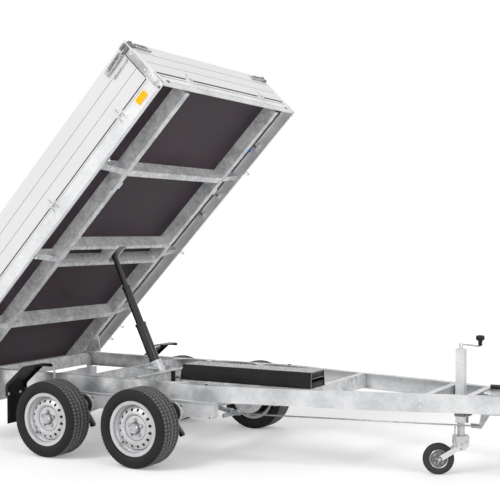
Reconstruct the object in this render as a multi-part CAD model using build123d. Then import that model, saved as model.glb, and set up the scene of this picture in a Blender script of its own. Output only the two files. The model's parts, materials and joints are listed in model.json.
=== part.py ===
from build123d import *
from math import sin, cos, tan, atan2, hypot, radians, degrees
import os

# Tandem axle tipping trailer, bed raised on its telescopic cylinder, parked on its jockey wheel.
# Millimetres. X forward along the drawbar, Y to the left, Z up, ground at Z 0. The model is laid out
# from the middle of the axle pair, and origin_x brings the middle of its length to X 0 at the end.

# wheels and axles
axle_spacing = 740
wheel_centre_y = 790
tyre_radius = 262.5
tyre_width = 194
tyre_section = 97.5
tread_groove_depth = 7
tread_groove_width = 8.4
tread_grooves = (-54, -19, 19, 54)
rim_flange = 18
rim_width = 160
rim_wall = 4
well_depth = 14
disc_offset = 46
rim_hole_count = 16
rim_hole_radius = 10
rim_hole_inset = 43
hub_bore_radius = 34
drum_inset = 37
drum_depth = 62
seat_gap = 0.3
arm_reach = 140
arm_width = 76
arm_thickness = 36
axle_tube_above_hub = 80
axle_tube_across = 92
pivot_boss_radius = 76
pivot_boss_thickness = 10
carrier_ahead = 325
carrier_behind = 220
carrier_depth = 110
carrier_rail = 8
damper_low_ahead = 250
damper_low_drop = 48
damper_top_ahead = 85
damper_top_rise = 150
damper_radius = 14
link_ahead = 150
link_below_tube = 31
link_below_coupling = 170

# chassis
beam_outer_y = 615
beam_height = 108
beam_flange = 50
beam_wall = 4
beam_top_z = 540
beam_rear_x = -1200
bend_x = 780
drawbar_length = 910
drawbar_angle = 16.0
beam_nose_x = 2860
beam_nose_y = 116
channel_flange = 45
rear_cross_x = -1196
cylinder_cross_rear_x = -225
cylinder_cross_front_x = 90
mid_cross_x = 520
front_cross_x = 1405
jockey_cross_behind_nose = 710
nose_cross_behind_nose = 460

# bed hinge and tilt
hinge_x = -1137
hinge_z = 690
tilt = 45.57
hinge_pin_radius = 16
pin_clearance = 0.1
hinge_plate = 12
hinge_foot_half = 62
hinge_foot_thickness = 8
hinge_head_half = 26
hinge_head_rise = 30

# bed, laid out along u from the hinge, y across and w square to the floor
bed_overhang = 264
bed_front_u = 2537
bed_rear_u = -363
frame_bottom_w = -20
frame_top_w = 100
frame_wall = 4
frame_box_width = 26
frame_box_depth = 42
frame_box_wall = 3
floor_under_w = 62
floor_thickness = 18
panel_height = 298
panel_thickness = 25
panel_wall = 2.5
panel_boards = 3
panel_gap = 6
post_top_w = 410
post_size_u = 60
post_size_y = 42
post_wall = 4
panel_end_gap = 3
longeron_proud_of_beam = 27
longeron_outer_y = beam_outer_y + longeron_proud_of_beam
bed_half_width = longeron_outer_y + bed_overhang
longeron_width = 50
longeron_depth = 100
longeron_wall = 3
cross_depth = 100
cross_wall = 4
cross_a_from_front = 709
cross_b_ahead_of_eye = 101.5
cross_b2_behind_eye = 68.5
cross_c_u = 310
cross_flange_a = 50
cross_flange_b = 32
cross_notch_half = 46
cross_notch_flange = 8
outrigger_us = (1800, 958, 270)
outrigger_width = 46
outrigger_root = 84
outrigger_tip = 48
panel_hinge_us = (2175, 1370, 565, -240)
head_hinge_ys = (-490, 490)
hinge_axis_out = 10
knuckle_radius = 8
knuckle_length = 64
tail_pin_radius = 8
tail_axis_drop = 12
latch_length = 190
latch_height = 46
latch_plate = 3
latch_cheek = 5
latch_depth = 15
latch_under_top = 46
latch_lever_height = 17
latch_lever_drop = 15
latch_tongue = 20
latch_tongue_height = 16
latch_keeper_height = 56
strap_thickness = 4
strap_low_w = 6
strap_high_w = 176
reflector_from_front = 173
reflector_length = 92
reflector_height = 44
reflector_thickness = 8
saddle_u = 1690
saddle_length = 42

# telescopic cylinder: the eye sits at eye_u, eye_w in the bed, the trunnion on the chassis
eye_u = 996.5
eye_w = 20.5
trunnion_x = -32
trunnion_z = 530
body_radius = 45
collar_radius = 48.5
collar_above = 62
collar_below = 34
body_below = 358
body_floor = 14
rod_radius = 20
stage_radii = (39, 30)
stage_length = 392
stage_collar = 15
stage_collar_lip = 3.5
slide_clearance = 0.2
trunnion_pin_radius = 16
bearer_y = 78
bearer_thickness = 12
bearer_depth = 90
ear_y = 44
ear_thickness = 10
eye_pin_radius = 11

# mudguards
guard_thickness = 4
guard_inner_y = 690
guard_outer_y = 886
guard_above_tyre = 98
guard_tip_behind = 84
guard_flat_end = 176
guard_back = 344
guard_shoulder_z = 482
guard_foot_z = 398
guard_bend_radius = 55
guard_lip = 22
guard_stay_behind = 126
guard_stay_z = 430
flap_bottom_z = 205
flap_thickness = 5
flap_width = 170

# stowed ramps
ramp_rear_x = 450
ramp_length = 1000
ramp_right_y = -420
ramp_width = 198
ramp_height = 66
ramp_nesting = 26
ramp_wall = 4
ramp_step = 6
ramp_setback = 14
ramp_rib_pitch = 110
ramp_rib = 6

# jockey wheel
jockey_behind_nose = 554
jockey_tube = 56
jockey_tube_wall = 2.7
jockey_tube_bottom = 330
jockey_tube_top = 800
jockey_leg_radius = 24
jockey_leg_top = 600
jockey_leg_bottom = 248
jockey_yaw = 28.8
jockey_trail = 144
jockey_wheel_radius = 100
jockey_wheel_width = 46
jockey_rim_radius = 58
jockey_fork_gap = 58
jockey_fork_plate = 5

# overrun coupling
coupling_z = 500
housing_behind_nose = 390
housing_length = 330
housing_width = 92
housing_height = 84
bellows_length = 104
bellows_radius = 46
bellows_fold = 9
head_length = 250
ball_ahead = 305
ball_socket_radius = 25.5

# rear lamps
lamp_board_z = 344
lamp_board_height = 126
lamp_board_half = 700
lamp_width = 200
lamp_depth = 42

rim_seat_radius = tyre_radius - tyre_section
rim_lip_radius = rim_seat_radius + rim_flange
rim_hole_circle = rim_seat_radius - rim_hole_inset
drum_radius = rim_seat_radius - drum_inset
axle_tube_z = tyre_radius + axle_tube_above_hub
second_bend_x = beam_nose_x - drawbar_length
bend_angle = degrees(atan2(beam_outer_y - beam_nose_y - drawbar_length * tan(radians(drawbar_angle)),
                           second_bend_x - bend_x))
jockey_cross_x = beam_nose_x - jockey_cross_behind_nose
nose_cross_x = beam_nose_x - nose_cross_behind_nose
jockey_x = beam_nose_x - jockey_behind_nose
longeron_rear_u = bed_rear_u + frame_box_width
cross_a_u = bed_front_u - cross_a_from_front
cross_b_u = eye_u + cross_b_ahead_of_eye
cross_b2_u = eye_u - cross_b2_behind_eye
reflector_u = bed_front_u - reflector_from_front
housing_rear_x = beam_nose_x - housing_behind_nose
housing_front_x = housing_rear_x + housing_length
ball_x = housing_front_x + ball_ahead
wheel_xs = {"front": axle_spacing / 2, "rear": -axle_spacing / 2}
sides = {"right": -1, "left": 1}
rest_beam = Pos(hinge_x, 0, hinge_z) * Rot(0, -tilt, 0)
nodes = {}


def block(x0, x1, y0, y1, z0, z1):
    return Pos((x0 + x1) / 2, (y0 + y1) / 2, (z0 + z1) / 2) * Box(x1 - x0, y1 - y0, z1 - z0)


def flat(points):
    return make_face(Polyline(*points, close=True))


def plan(points, z0, z1):
    return Pos(0, 0, z0) * extrude(flat(points), amount=z1 - z0)


def side_plate(points, y0, y1):
    """Outline in X and Z, thick along Y."""
    return Pos(0, y1, 0) * extrude(Plane.XZ * flat(points), amount=y1 - y0)


def cross_section(points, x0, x1):
    """Outline in Y and Z, long along X."""
    return Pos(x0, 0, 0) * extrude(Plane.YZ * flat(points), amount=x1 - x0)


def rod_y(x, z, radius, y0, y1):
    return Pos(x, (y0 + y1) / 2, z) * Rot(90, 0, 0) * Cylinder(radius, y1 - y0)


def rod_z(x, y, radius, z0, z1):
    return Pos(x, y, (z0 + z1) / 2) * Cylinder(radius, z1 - z0)


def other_side(shape):
    return mirror(shape, about=Plane.XZ)


def both(shape):
    return [shape, other_side(shape)]


def turned(points):
    """Solid of revolution about Y, its outline given as radius and place along Y."""
    return revolve(flat(points), axis=Axis.Y)


def fused(shapes):
    whole = shapes[0]
    for shape in shapes[1:]:
        whole = whole + shape
    return whole


def keep(name, shapes, place=None):
    shapes = shapes if isinstance(shapes, list) else [shapes]
    solids = [solid for shape in shapes for solid in shape.solids()]
    if place is not None:
        solids = [place * solid for solid in solids]
    nodes[name] = solids


# chassis

def beam_y(x, inset=0.0):
    """Distance of the beam's outer face from the middle plane, less an inset square to it."""
    first = tan(radians(bend_angle))
    second = tan(radians(drawbar_angle))
    if x <= bend_x:
        return beam_outer_y - inset
    if x <= second_bend_x:
        return beam_outer_y - (x - bend_x) * first - inset / cos(radians(bend_angle))
    at_second = beam_outer_y - (second_bend_x - bend_x) * first
    return at_second - (x - second_bend_x) * second - inset / cos(radians(drawbar_angle))


def corner_x(bend, before, after, inset):
    """Place along X where two runs, both moved in by the inset, still meet."""
    return bend - inset * sin(radians((before + after) / 2)) / cos(radians((after - before) / 2))


def beam_line(inset):
    turns = (corner_x(bend_x, 0, bend_angle, inset), corner_x(second_bend_x, bend_angle, drawbar_angle, inset))
    first = beam_outer_y - inset
    slope = tan(radians(bend_angle))
    second = first - (turns[1] - turns[0]) * slope
    last = second - (beam_nose_x - turns[1]) * tan(radians(drawbar_angle))
    return [(beam_rear_x, first), (turns[0], first), (turns[1], second), (beam_nose_x, last)]


def strip(inset, z0, z1):
    return plan(beam_line(0) + beam_line(inset)[::-1], z0, z1)


def side_beam():
    low = beam_top_z - beam_height
    web = strip(beam_wall, low, beam_top_z)
    return web + strip(beam_flange, low, low + beam_wall) + strip(beam_flange, beam_top_z - beam_wall, beam_top_z)


def between_beams(x0, x1, z0, z1):
    near = [(x0, -beam_y(x0, beam_wall)), (x1, -beam_y(x1, beam_wall))]
    far = [(x1, beam_y(x1, beam_wall)), (x0, beam_y(x0, beam_wall))]
    return plan(near + far, z0, z1)


def chassis_channel(web_x, opens):
    """Cross channel between the beams' webs, web at web_x, flanges to the side that opens names."""
    low = beam_top_z - beam_height + beam_wall
    high = beam_top_z - beam_wall
    far_x = web_x + opens * channel_flange
    x0, x1 = sorted((web_x, far_x))
    inner = sorted((web_x + opens * beam_wall, far_x + opens * beam_wall))
    hollow = block(inner[0], inner[1], -beam_outer_y, beam_outer_y, low + beam_wall, high - beam_wall)
    return between_beams(x0, x1, low, high) - hollow


def chassis_crossmembers():
    places = ((rear_cross_x + channel_flange, -1), (cylinder_cross_rear_x, -1), (cylinder_cross_front_x, 1),
              (mid_cross_x, 1), (front_cross_x + channel_flange, -1), (jockey_cross_x, 1), (nose_cross_x, 1))
    return [chassis_channel(x, opens) for x, opens in places]


def cylinder_bearers():
    high = beam_top_z - beam_wall
    plate = block(cylinder_cross_rear_x, cylinder_cross_front_x, bearer_y, bearer_y + bearer_thickness,
                  high - bearer_depth, high)
    bearing = rod_y(trunnion_x, trunnion_z, 2 * trunnion_pin_radius, bearer_y, bearer_y + 2 * bearer_thickness)
    bore = rod_y(trunnion_x, trunnion_z, trunnion_pin_radius + pin_clearance, 0, 200)
    return both(plate + bearing - bore)


def hinge_brackets():
    """Plate outside each longeron on a foot that lies on the beam, with the hinge pin and its head."""
    face = longeron_outer_y + 1
    outline = [(hinge_x - hinge_foot_half, beam_top_z), (hinge_x + hinge_foot_half, beam_top_z),
               (hinge_x + hinge_head_half, hinge_z + hinge_head_rise),
               (hinge_x - hinge_head_half, hinge_z + hinge_head_rise)]
    plate = side_plate(outline, face, face + hinge_plate)
    foot = block(hinge_x - hinge_foot_half, hinge_x + hinge_foot_half, beam_outer_y - beam_flange, face + hinge_plate,
                 beam_top_z, beam_top_z + hinge_foot_thickness)
    inner = longeron_outer_y - longeron_width
    pin = rod_y(hinge_x, hinge_z, hinge_pin_radius, inner - 6, face + hinge_plate + 8)
    head = rod_y(hinge_x, hinge_z, hinge_pin_radius + 7, inner - 8, inner - 2)
    web = side_plate([(hinge_x - hinge_foot_half, beam_top_z), (hinge_x + hinge_foot_half, beam_top_z),
                      (hinge_x, beam_top_z + 70)], beam_outer_y - 6, beam_outer_y)
    rib = block(hinge_x - 5, hinge_x + 5, beam_outer_y - 6, face + 1, beam_top_z, beam_top_z + 46)
    return both(fused([plate, foot, pin, head, web, rib]))


def axle_mounts():
    """Pressed carrier under each beam that holds both axle tubes, hung from a rail along the beam's foot."""
    beam_foot = beam_top_z - beam_height
    top = beam_foot - carrier_rail
    deep = axle_tube_z - axle_tube_across / 2 - 8
    shallow = beam_foot - carrier_depth
    rear_tube = wheel_xs["rear"] + arm_reach
    front_tube = wheel_xs["front"] + arm_reach
    outline = [(rear_tube - carrier_behind, top), (rear_tube - carrier_behind, shallow), (rear_tube - 110, shallow),
               (rear_tube - 34, deep), (rear_tube + 34, deep), (rear_tube + 110, shallow),
               (front_tube - 110, shallow), (front_tube - 34, deep), (front_tube + 34, deep),
               (front_tube + 110, shallow), (front_tube + carrier_ahead - 18, shallow),
               (front_tube + carrier_ahead, shallow + 18), (front_tube + carrier_ahead, top)]
    face_y = beam_outer_y - 3
    carrier = side_plate(outline, face_y - 58, face_y)
    inside = side_plate(shrink(outline, 5), face_y - 60, face_y - 5)
    rail = block(rear_tube - carrier_behind - 60, front_tube + carrier_ahead + 14, face_y - 58, beam_outer_y + 7,
                 top, beam_foot)
    return carrier - inside + rail


def mudguard_stays():
    """Two bars from each beam's web to the inner lip of the mudguard."""
    rear = wheel_xs["rear"]
    under = guard_top_z() - guard_thickness
    high_x = rear - guard_stay_behind
    high = block(high_x - 18, high_x + 18, beam_outer_y, guard_inner_y, under - 8, under)
    leg = block(high_x - 18, high_x + 18, beam_outer_y, beam_outer_y + 6, beam_top_z - 70, under)
    low_x = rear - guard_back + guard_thickness + 6
    low = block(low_x - 6, low_x + 6, beam_outer_y, guard_inner_y, guard_stay_z - 5, guard_stay_z + 5)
    foot = block(low_x - 30, low_x + 30, beam_outer_y, beam_outer_y + 5, guard_stay_z - 5, guard_stay_z + 50)
    return both(high + leg) + both(low + foot)


def shrink(outline, wall):
    """Outline with each edge moved in by the wall, for a closed outline of straight edges."""
    count = len(outline)
    area = sum(outline[i][0] * outline[(i + 1) % count][1] - outline[(i + 1) % count][0] * outline[i][1]
               for i in range(count))
    turn = 1 if area > 0 else -1
    moved = []
    for i in range(count):
        (ax, ay), (bx, by), (cx, cy) = outline[i - 1], outline[i], outline[(i + 1) % count]
        first = atan2(by - ay, bx - ax)
        second = atan2(cy - by, cx - bx)
        n1 = (-turn * sin(first), turn * cos(first))
        n2 = (-turn * sin(second), turn * cos(second))
        scale = wall / (1 + n1[0] * n2[0] + n1[1] * n2[1])
        moved.append((bx + scale * (n1[0] + n2[0]), by + scale * (n1[1] + n2[1])))
    return moved


def axle_tubes():
    tubes = []
    end = beam_outer_y - 3 - 5
    for x in wheel_xs.values():
        hexagon = RegularPolygon(axle_tube_across / 2, 6, major_radius=False)
        tube = extrude(Plane.XZ * hexagon, amount=2 * end)
        tubes.append(Pos(x + arm_reach, end, axle_tube_z) * tube)
    return tubes


def swing_arms():
    """Trailing arm from the axle tube's end to the hub, with the brake's backplate and the damper's lug."""
    arms = []
    inner = beam_outer_y - 3 + 0.5
    outer = inner + arm_thickness
    rise = axle_tube_z - tyre_radius
    for x in wheel_xs.values():
        tube_x = x + arm_reach
        body = SlotCenterToCenter(hypot(arm_reach, rise), arm_width)
        arm = extrude(Plane.XZ * (Rot(0, 0, degrees(atan2(rise, arm_reach))) * body), amount=arm_thickness)
        arm = Pos((x + tube_x) / 2, outer, (axle_tube_z + tyre_radius) / 2) * arm
        boss = rod_y(tube_x, axle_tube_z, pivot_boss_radius, inner, inner + pivot_boss_thickness)
        low = (x + damper_low_ahead, tyre_radius - damper_low_drop)
        lug = side_plate([(tube_x - 10, axle_tube_z - 40), (tube_x + 40, axle_tube_z - 10),
                          (low[0] + damper_radius, low[1] + 6), (low[0] - damper_radius, low[1] - 12)],
                         outer - 8, outer)
        plate = rod_y(x, tyre_radius, drum_radius + 3, outer, outer + 5)
        spindle = rod_y(x, tyre_radius, 16, outer, wheel_centre_y + disc_offset + 8)
        arms.extend(both(fused([arm, boss, lug, plate, spindle])))
    return arms


def dampers():
    """Shock absorber outside each arm, from a pin on the axle carrier down to the arm's lug."""
    found = []
    carrier_y = beam_outer_y - 3
    arm_y = carrier_y + 0.5 + arm_thickness
    middle = arm_y + damper_radius + 3
    for x in wheel_xs.values():
        top = (x + damper_top_ahead, tyre_radius + damper_top_rise)
        low = (x + damper_low_ahead, tyre_radius - damper_low_drop)
        length = hypot(top[0] - low[0], top[1] - low[1])
        lean = degrees(atan2(top[0] - low[0], top[1] - low[1]))
        tube = Pos(0, 0, 20) * Cylinder(damper_radius, length * 0.52, align=(Align.CENTER, Align.CENTER, Align.MIN))
        piston = Cylinder(6, length, align=(Align.CENTER, Align.CENTER, Align.MIN))
        strut = Pos(low[0], middle, low[1]) * Rot(0, lean, 0) * (tube + piston)
        foot = rod_y(low[0], low[1], damper_radius, arm_y, middle + 12)
        head = rod_y(top[0], top[1], damper_radius - 2, middle - 12, middle + 12)
        pin = rod_y(top[0], top[1], 7, carrier_y, middle + 14)
        found.extend(both(fused([strut, foot, head, pin])))
    return found


def brake_linkage():
    """Pull rod from the coupling's lever to the balance bar under the front axle tube."""
    rod_y_place = -72
    tube_x = wheel_xs["front"] + arm_reach
    tube_low = axle_tube_z - axle_tube_across / 2
    start = (tube_x + link_ahead, tube_low - link_below_tube)
    end = (housing_rear_x - 29, coupling_z - link_below_coupling)
    length = hypot(end[0] - start[0], end[1] - start[1])
    lean = degrees(atan2(end[0] - start[0], end[1] - start[1]))
    rod = Cylinder(5, length, align=(Align.CENTER, Align.CENTER, Align.MIN))
    rod = Pos(start[0], rod_y_place, start[1]) * Rot(0, lean, 0) * rod
    bar = plan([(start[0] - 16, -190), (start[0] - 2, -190), (start[0] + 10, rod_y_place - 30),
                (start[0] + 10, rod_y_place + 30), (start[0] - 2, 50), (start[0] - 16, 50)],
               start[1] - 13, start[1] + 13)
    shelf = block(tube_x - 20, start[0] - 8, rod_y_place - 22, rod_y_place + 22, tube_low - 6, tube_low)
    hanger = block(start[0] - 16, start[0] - 8, rod_y_place - 22, rod_y_place + 22, start[1] - 13, tube_low)
    nut = Pos(start[0] + 22, rod_y_place, start[1] + 1) * Rot(0, 90, 0) * extrude(RegularPolygon(11, 6), amount=34)
    return fused([rod, bar, shelf, hanger, nut])


# mudguards

def guard_top_z():
    return 2 * tyre_radius + guard_above_tyre


def guard_band(depth, y0, y1):
    """Strip that follows the guard's outer line from its level tip down to its foot, as deep as asked."""
    top = guard_top_z()
    tip, foot = (-guard_tip_behind, top), (-guard_back, guard_foot_z)
    outer = [(-guard_flat_end, top), (-guard_back, guard_shoulder_z)]
    inner = shrink([tip] + outer + [foot, (tip[0], foot[1])], depth)[1:3]
    face = flat([tip] + outer + [foot, (foot[0] + depth, foot[1])] + inner[::-1] + [(tip[0], top - depth)])
    for corners, radius in ((outer, guard_bend_radius), (inner, guard_bend_radius - depth)):
        for corner in corners:
            bend = [v for v in face.vertices() if hypot(v.X - corner[0], v.Y - corner[1]) < 0.1]
            face = fillet(bend, radius)
    return Pos(wheel_xs["rear"], y1, 0) * extrude(Plane.XZ * face, amount=y1 - y0)


def mudguards():
    shell = guard_band(guard_thickness, guard_inner_y, guard_outer_y)
    shell = shell + guard_band(guard_lip, guard_inner_y, guard_inner_y + guard_thickness)
    shell = shell + guard_band(guard_lip, guard_outer_y - guard_thickness, guard_outer_y)
    foot_x = wheel_xs["rear"] - guard_back
    middle = (guard_inner_y + guard_outer_y) / 2
    flap = block(foot_x + guard_thickness, foot_x + guard_thickness + flap_thickness, middle - flap_width / 2,
                 middle + flap_width / 2, flap_bottom_z, guard_foot_z + 34)
    return both(shell + flap)


# wheels

def tyre():
    half = tyre_width / 2
    tread = half - 20
    bead = rim_width / 2 - rim_wall - 0.4
    points = [(rim_seat_radius + seat_gap, 4.2 - bead), (rim_lip_radius + 0.5, -bead), (rim_lip_radius + 8, -half + 5),
              (rim_seat_radius + 52, -half), (tyre_radius - 26, -half + 3), (tyre_radius - 6, -tread - 6),
              (tyre_radius, -tread)]
    for place in tread_grooves:
        points += [(tyre_radius, place - tread_groove_width / 2),
                   (tyre_radius - tread_groove_depth, place - tread_groove_width / 2),
                   (tyre_radius - tread_groove_depth, place + tread_groove_width / 2),
                   (tyre_radius, place + tread_groove_width / 2)]
    points += [(tyre_radius, tread), (tyre_radius - 6, tread + 6), (tyre_radius - 26, half - 3),
               (rim_seat_radius + 52, half), (rim_lip_radius + 8, half - 5), (rim_lip_radius + 0.5, bead),
               (rim_seat_radius + seat_gap, bead - 4.2)]
    return turned(points)


def rim():
    """Well-based steel rim with its pierced disc, outboard towards +Y."""
    half = rim_width / 2
    well = rim_seat_radius - well_depth
    barrel = [(rim_lip_radius, -half), (rim_lip_radius, -half + rim_wall), (rim_seat_radius, -half + 8),
              (rim_seat_radius, -half + 26), (well, -half + 38), (well, half - 52), (rim_seat_radius, half - 34),
              (rim_seat_radius, half - 8), (rim_lip_radius, half - rim_wall), (rim_lip_radius, half),
              (rim_seat_radius - rim_wall, half - 2), (rim_seat_radius - rim_wall, half - 34),
              (well - rim_wall, half - 54), (well - rim_wall, -half + 36), (rim_seat_radius - rim_wall, -half + 24),
              (rim_seat_radius - rim_wall, -half + 2)]
    face = disc_offset
    ring = rim_hole_circle
    disc = [(hub_bore_radius, face), (ring - 52, face), (ring - 38, face - 3), (ring - 26, face + 12),
            (ring - 12, face + 12), (ring + 16, face - 4), (well - rim_wall + 1, face - 26),
            (well - rim_wall + 1, face - 32), (ring + 12, face - 9), (ring - 12, face + 6), (ring - 24, face + 6),
            (ring - 35, face - 9), (ring - 50, face - 6), (hub_bore_radius, face - 6)]
    wheel = turned(barrel) + turned(disc)
    for i in range(rim_hole_count):
        a = radians(360 / rim_hole_count * (i + 0.5))
        wheel = wheel - rod_y(rim_hole_circle * cos(a), rim_hole_circle * sin(a), rim_hole_radius, face - 20, face + 20)
    return wheel


def drum():
    """Brake drum and hub with its bolts and dust cap, from the backplate to the disc's face."""
    inner = -wheel_centre_y + beam_outer_y - 3 + 0.5 + arm_thickness + 5 + 1
    mount = disc_offset - 6 - seat_gap
    bore = 16.5
    neck = rim_hole_circle - 54
    body = turned([(bore, inner), (drum_radius, inner), (drum_radius, inner + drum_depth),
                   (drum_radius - 36, inner + drum_depth + 14), (neck, mount), (bore, mount)])
    cap = turned([(bore, mount), (hub_bore_radius - 1, mount), (hub_bore_radius - 1, mount + 26),
                  (hub_bore_radius - 6, mount + 34), (0.0, mount + 34), (0.0, mount + 22), (bore, mount + 22)])
    return body + cap


def wheel_at(shape, x, side):
    shape = shape if side > 0 else other_side(shape)
    return Pos(x, side * wheel_centre_y, tyre_radius) * shape


# bed, in its own u, y, w frame: x stands for u and z for w

def side_frame():
    y1 = bed_half_width
    box_y = y1 - frame_box_width
    web_y = y1 - frame_wall
    low = frame_top_w - frame_box_depth
    outline = [(y1, frame_bottom_w), (y1, frame_top_w), (box_y, frame_top_w), (box_y, low), (web_y, low),
               (web_y, frame_bottom_w + frame_wall), (web_y - 12, frame_bottom_w + frame_wall),
               (web_y - 12, frame_bottom_w)]
    u0 = bed_rear_u
    u1 = bed_front_u
    frame = cross_section(outline, u0, u1)
    wall = frame_box_wall
    frame = frame - block(u0 - 1, u1 + 1, box_y + wall, y1 - wall, low + wall, frame_top_w - wall)
    return frame + fused([knuckle_u(u) for u in panel_hinge_us])


def knuckle_u(u):
    """Hinge knuckle of a side panel: half of it on the frame, with a leaf down the frame's face."""
    y = bed_half_width + hinge_axis_out
    lengths = (u - knuckle_length / 2, u - knuckle_length / 6 - 0.5)
    parts = []
    for u0, u1 in (lengths, (2 * u - lengths[1], 2 * u - lengths[0])):
        barrel = Pos((u0 + u1) / 2, y, frame_top_w) * Rot(0, 90, 0) * Cylinder(knuckle_radius, u1 - u0)
        leaf = block(u0, u1, bed_half_width - 1, y, frame_top_w - 46, frame_top_w - knuckle_radius + 3)
        parts.append(barrel + leaf)
    pin = Pos(u, y, frame_top_w) * Rot(0, 90, 0) * Cylinder(3.5, knuckle_length)
    return fused(parts + [pin])


def end_rail(front):
    """Cross rail at the bed's end, of the side frame's section, between the side frames."""
    outer = bed_front_u if front else -bed_rear_u
    box_in = outer - frame_box_width
    web_in = outer - frame_wall
    low = frame_top_w - frame_box_depth
    outline = [(outer, frame_bottom_w), (outer, frame_top_w), (box_in, frame_top_w), (box_in, low), (web_in, low),
               (web_in, frame_bottom_w + frame_wall), (web_in - 12, frame_bottom_w + frame_wall),
               (web_in - 12, frame_bottom_w)]
    half = bed_half_width - frame_box_width
    rail = side_plate(outline, -half, half)
    wall = frame_box_wall
    rail = rail - block(box_in + wall, outer - wall, -half - 1, half + 1, low + wall, frame_top_w - wall)
    if front:
        return rail + fused([knuckle_y(y) for y in head_hinge_ys])
    return mirror(rail, about=Plane.YZ)


def knuckle_y(y):
    u = bed_front_u + hinge_axis_out
    lengths = (y - knuckle_length / 2, y - knuckle_length / 6 - 0.5)
    parts = []
    for y0, y1 in (lengths, (2 * y - lengths[1], 2 * y - lengths[0])):
        barrel = rod_y(u, frame_top_w, knuckle_radius, y0, y1)
        leaf = block(bed_front_u - 1, u, y0, y1, frame_top_w - 46, frame_top_w - knuckle_radius + 3)
        parts.append(barrel + leaf)
    return fused(parts + [rod_y(u, frame_top_w, 3.5, y - knuckle_length / 2, y + knuckle_length / 2)])


def longeron():
    y1 = longeron_outer_y
    y0 = y1 - longeron_width
    low = floor_under_w - longeron_depth
    u1 = bed_front_u - frame_box_width
    tube = block(longeron_rear_u, u1, y0, y1, low, floor_under_w)
    wall = longeron_wall
    tube = tube - block(longeron_rear_u - 1, u1 + 1, y0 + wall, y1 - wall, low + wall, floor_under_w - wall)
    outside = hinge_pin_radius + 11
    sleeve = rod_y(0, 0, outside, y0, y1) - rod_y(0, 0, hinge_pin_radius + pin_clearance, y0 - 1, y1 + 1)
    tube = tube - rod_y(0, 0, outside - 1, y0 - 1, y1 + 1) + sleeve
    strap = block(saddle_u - saddle_length / 2, saddle_u + saddle_length / 2, y0 - 4, y1 + 4, low - 4, low + 20)
    strap = strap - block(0, bed_front_u, y0, y1, low, 200)
    return tube + strap


def cross_channel(web_u, flange, notched=False):
    """Cross channel between the longerons: web towards the front, flanges towards the rear."""
    half = longeron_outer_y - longeron_width
    low = floor_under_w - cross_depth
    channel = block(web_u - flange, web_u, -half, half, low, floor_under_w)
    channel = channel - block(web_u - flange - 1, web_u - cross_wall, -half - 1, half + 1,
                              low + cross_wall, floor_under_w - cross_wall)
    if notched:
        channel = channel - block(web_u - flange - 1, web_u - cross_notch_flange, -cross_notch_half,
                                  cross_notch_half, low - 1, floor_under_w + 1)
    return channel


def crossmembers():
    return [cross_channel(cross_a_u, cross_flange_a), cross_channel(cross_b_u, cross_flange_b, True),
            cross_channel(cross_b2_u, cross_flange_b), cross_channel(cross_c_u, cross_flange_a)]


def outriggers():
    """Tapered channels that carry the side frames from the longerons."""
    found = []
    y0 = longeron_outer_y
    y1 = bed_half_width - frame_wall
    top = floor_under_w
    shelf = frame_top_w - frame_box_depth
    outline = [(y0, top), (bed_half_width - frame_box_width, top), (bed_half_width - frame_box_width, shelf),
               (y1, shelf), (y1, top - outrigger_tip), (y1 - 60, top - outrigger_tip), (y0, top - outrigger_root)]
    for u in outrigger_us:
        arm = cross_section(outline, u - outrigger_width / 2, u + outrigger_width / 2)
        inner = shrink(outline, 4)
        arm = arm - cross_section(inner, u - outrigger_width / 2 + 4, u + outrigger_width / 2 + 1)
        found.extend(both(arm))
    return found


def floor_plate():
    half = bed_half_width - frame_box_width - 1
    return block(bed_rear_u + frame_box_width + 1, bed_front_u - frame_box_width - 1, -half, half,
                 floor_under_w, floor_under_w + floor_thickness)


def corner_post(u_out, inward):
    """Box post on a corner of the frame, tied to the frame's side by a bolted strap."""
    y1 = bed_half_width
    u_in = u_out + inward * post_size_u
    u0, u1 = sorted((u_out, u_in))
    tube = block(u0, u1, y1 - post_size_y, y1, frame_top_w, post_top_w)
    hollow = block(u0 + post_wall, u1 - post_wall, y1 - post_size_y + post_wall, y1 - post_wall,
                   frame_top_w - 1, post_top_w - post_wall)
    strap = block(u0, u1, y1, y1 + strap_thickness, strap_low_w, strap_high_w)
    strap = chamfer(strap.edges().filter_by(Axis.Y), 9)
    return tube - hollow + strap


def corner_posts():
    front = corner_post(bed_front_u, -1)
    rear = corner_post(bed_rear_u, 1)
    hole = rod_y(bed_rear_u + panel_thickness / 2, tail_axis_w(), tail_pin_radius + pin_clearance,
                 bed_half_width - post_size_y - 1, bed_half_width - post_size_y + post_wall + 1)
    return both(front) + both(rear - hole)


def tail_axis_w():
    return frame_top_w + panel_gap + panel_height - tail_axis_drop


def board_outline(thickness, height, boards):
    """Section of a plank panel: outer face at 0 with a shallow joint groove between boards."""
    pitch = height / boards
    points = [(0, 0)]
    for i in range(1, boards):
        points += [(0, i * pitch - 2), (1.6, i * pitch), (0, i * pitch + 2)]
    points += [(0, height), (thickness, height), (thickness, 0)]
    return points


def panel(length):
    """Hollow plank panel: length along X, outer face at y 0, body towards +Y, foot at z 0."""
    outline = board_outline(panel_thickness, panel_height, panel_boards)
    body = cross_section(outline, -length / 2, length / 2)
    pitch = panel_height / panel_boards
    wall = panel_wall
    for i in range(panel_boards):
        body = body - block(-length / 2 + wall, length / 2 - wall, wall, panel_thickness - wall,
                            i * pitch + wall, (i + 1) * pitch - wall)
    return body


def latch_middle_z():
    return panel_height - latch_under_top


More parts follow.
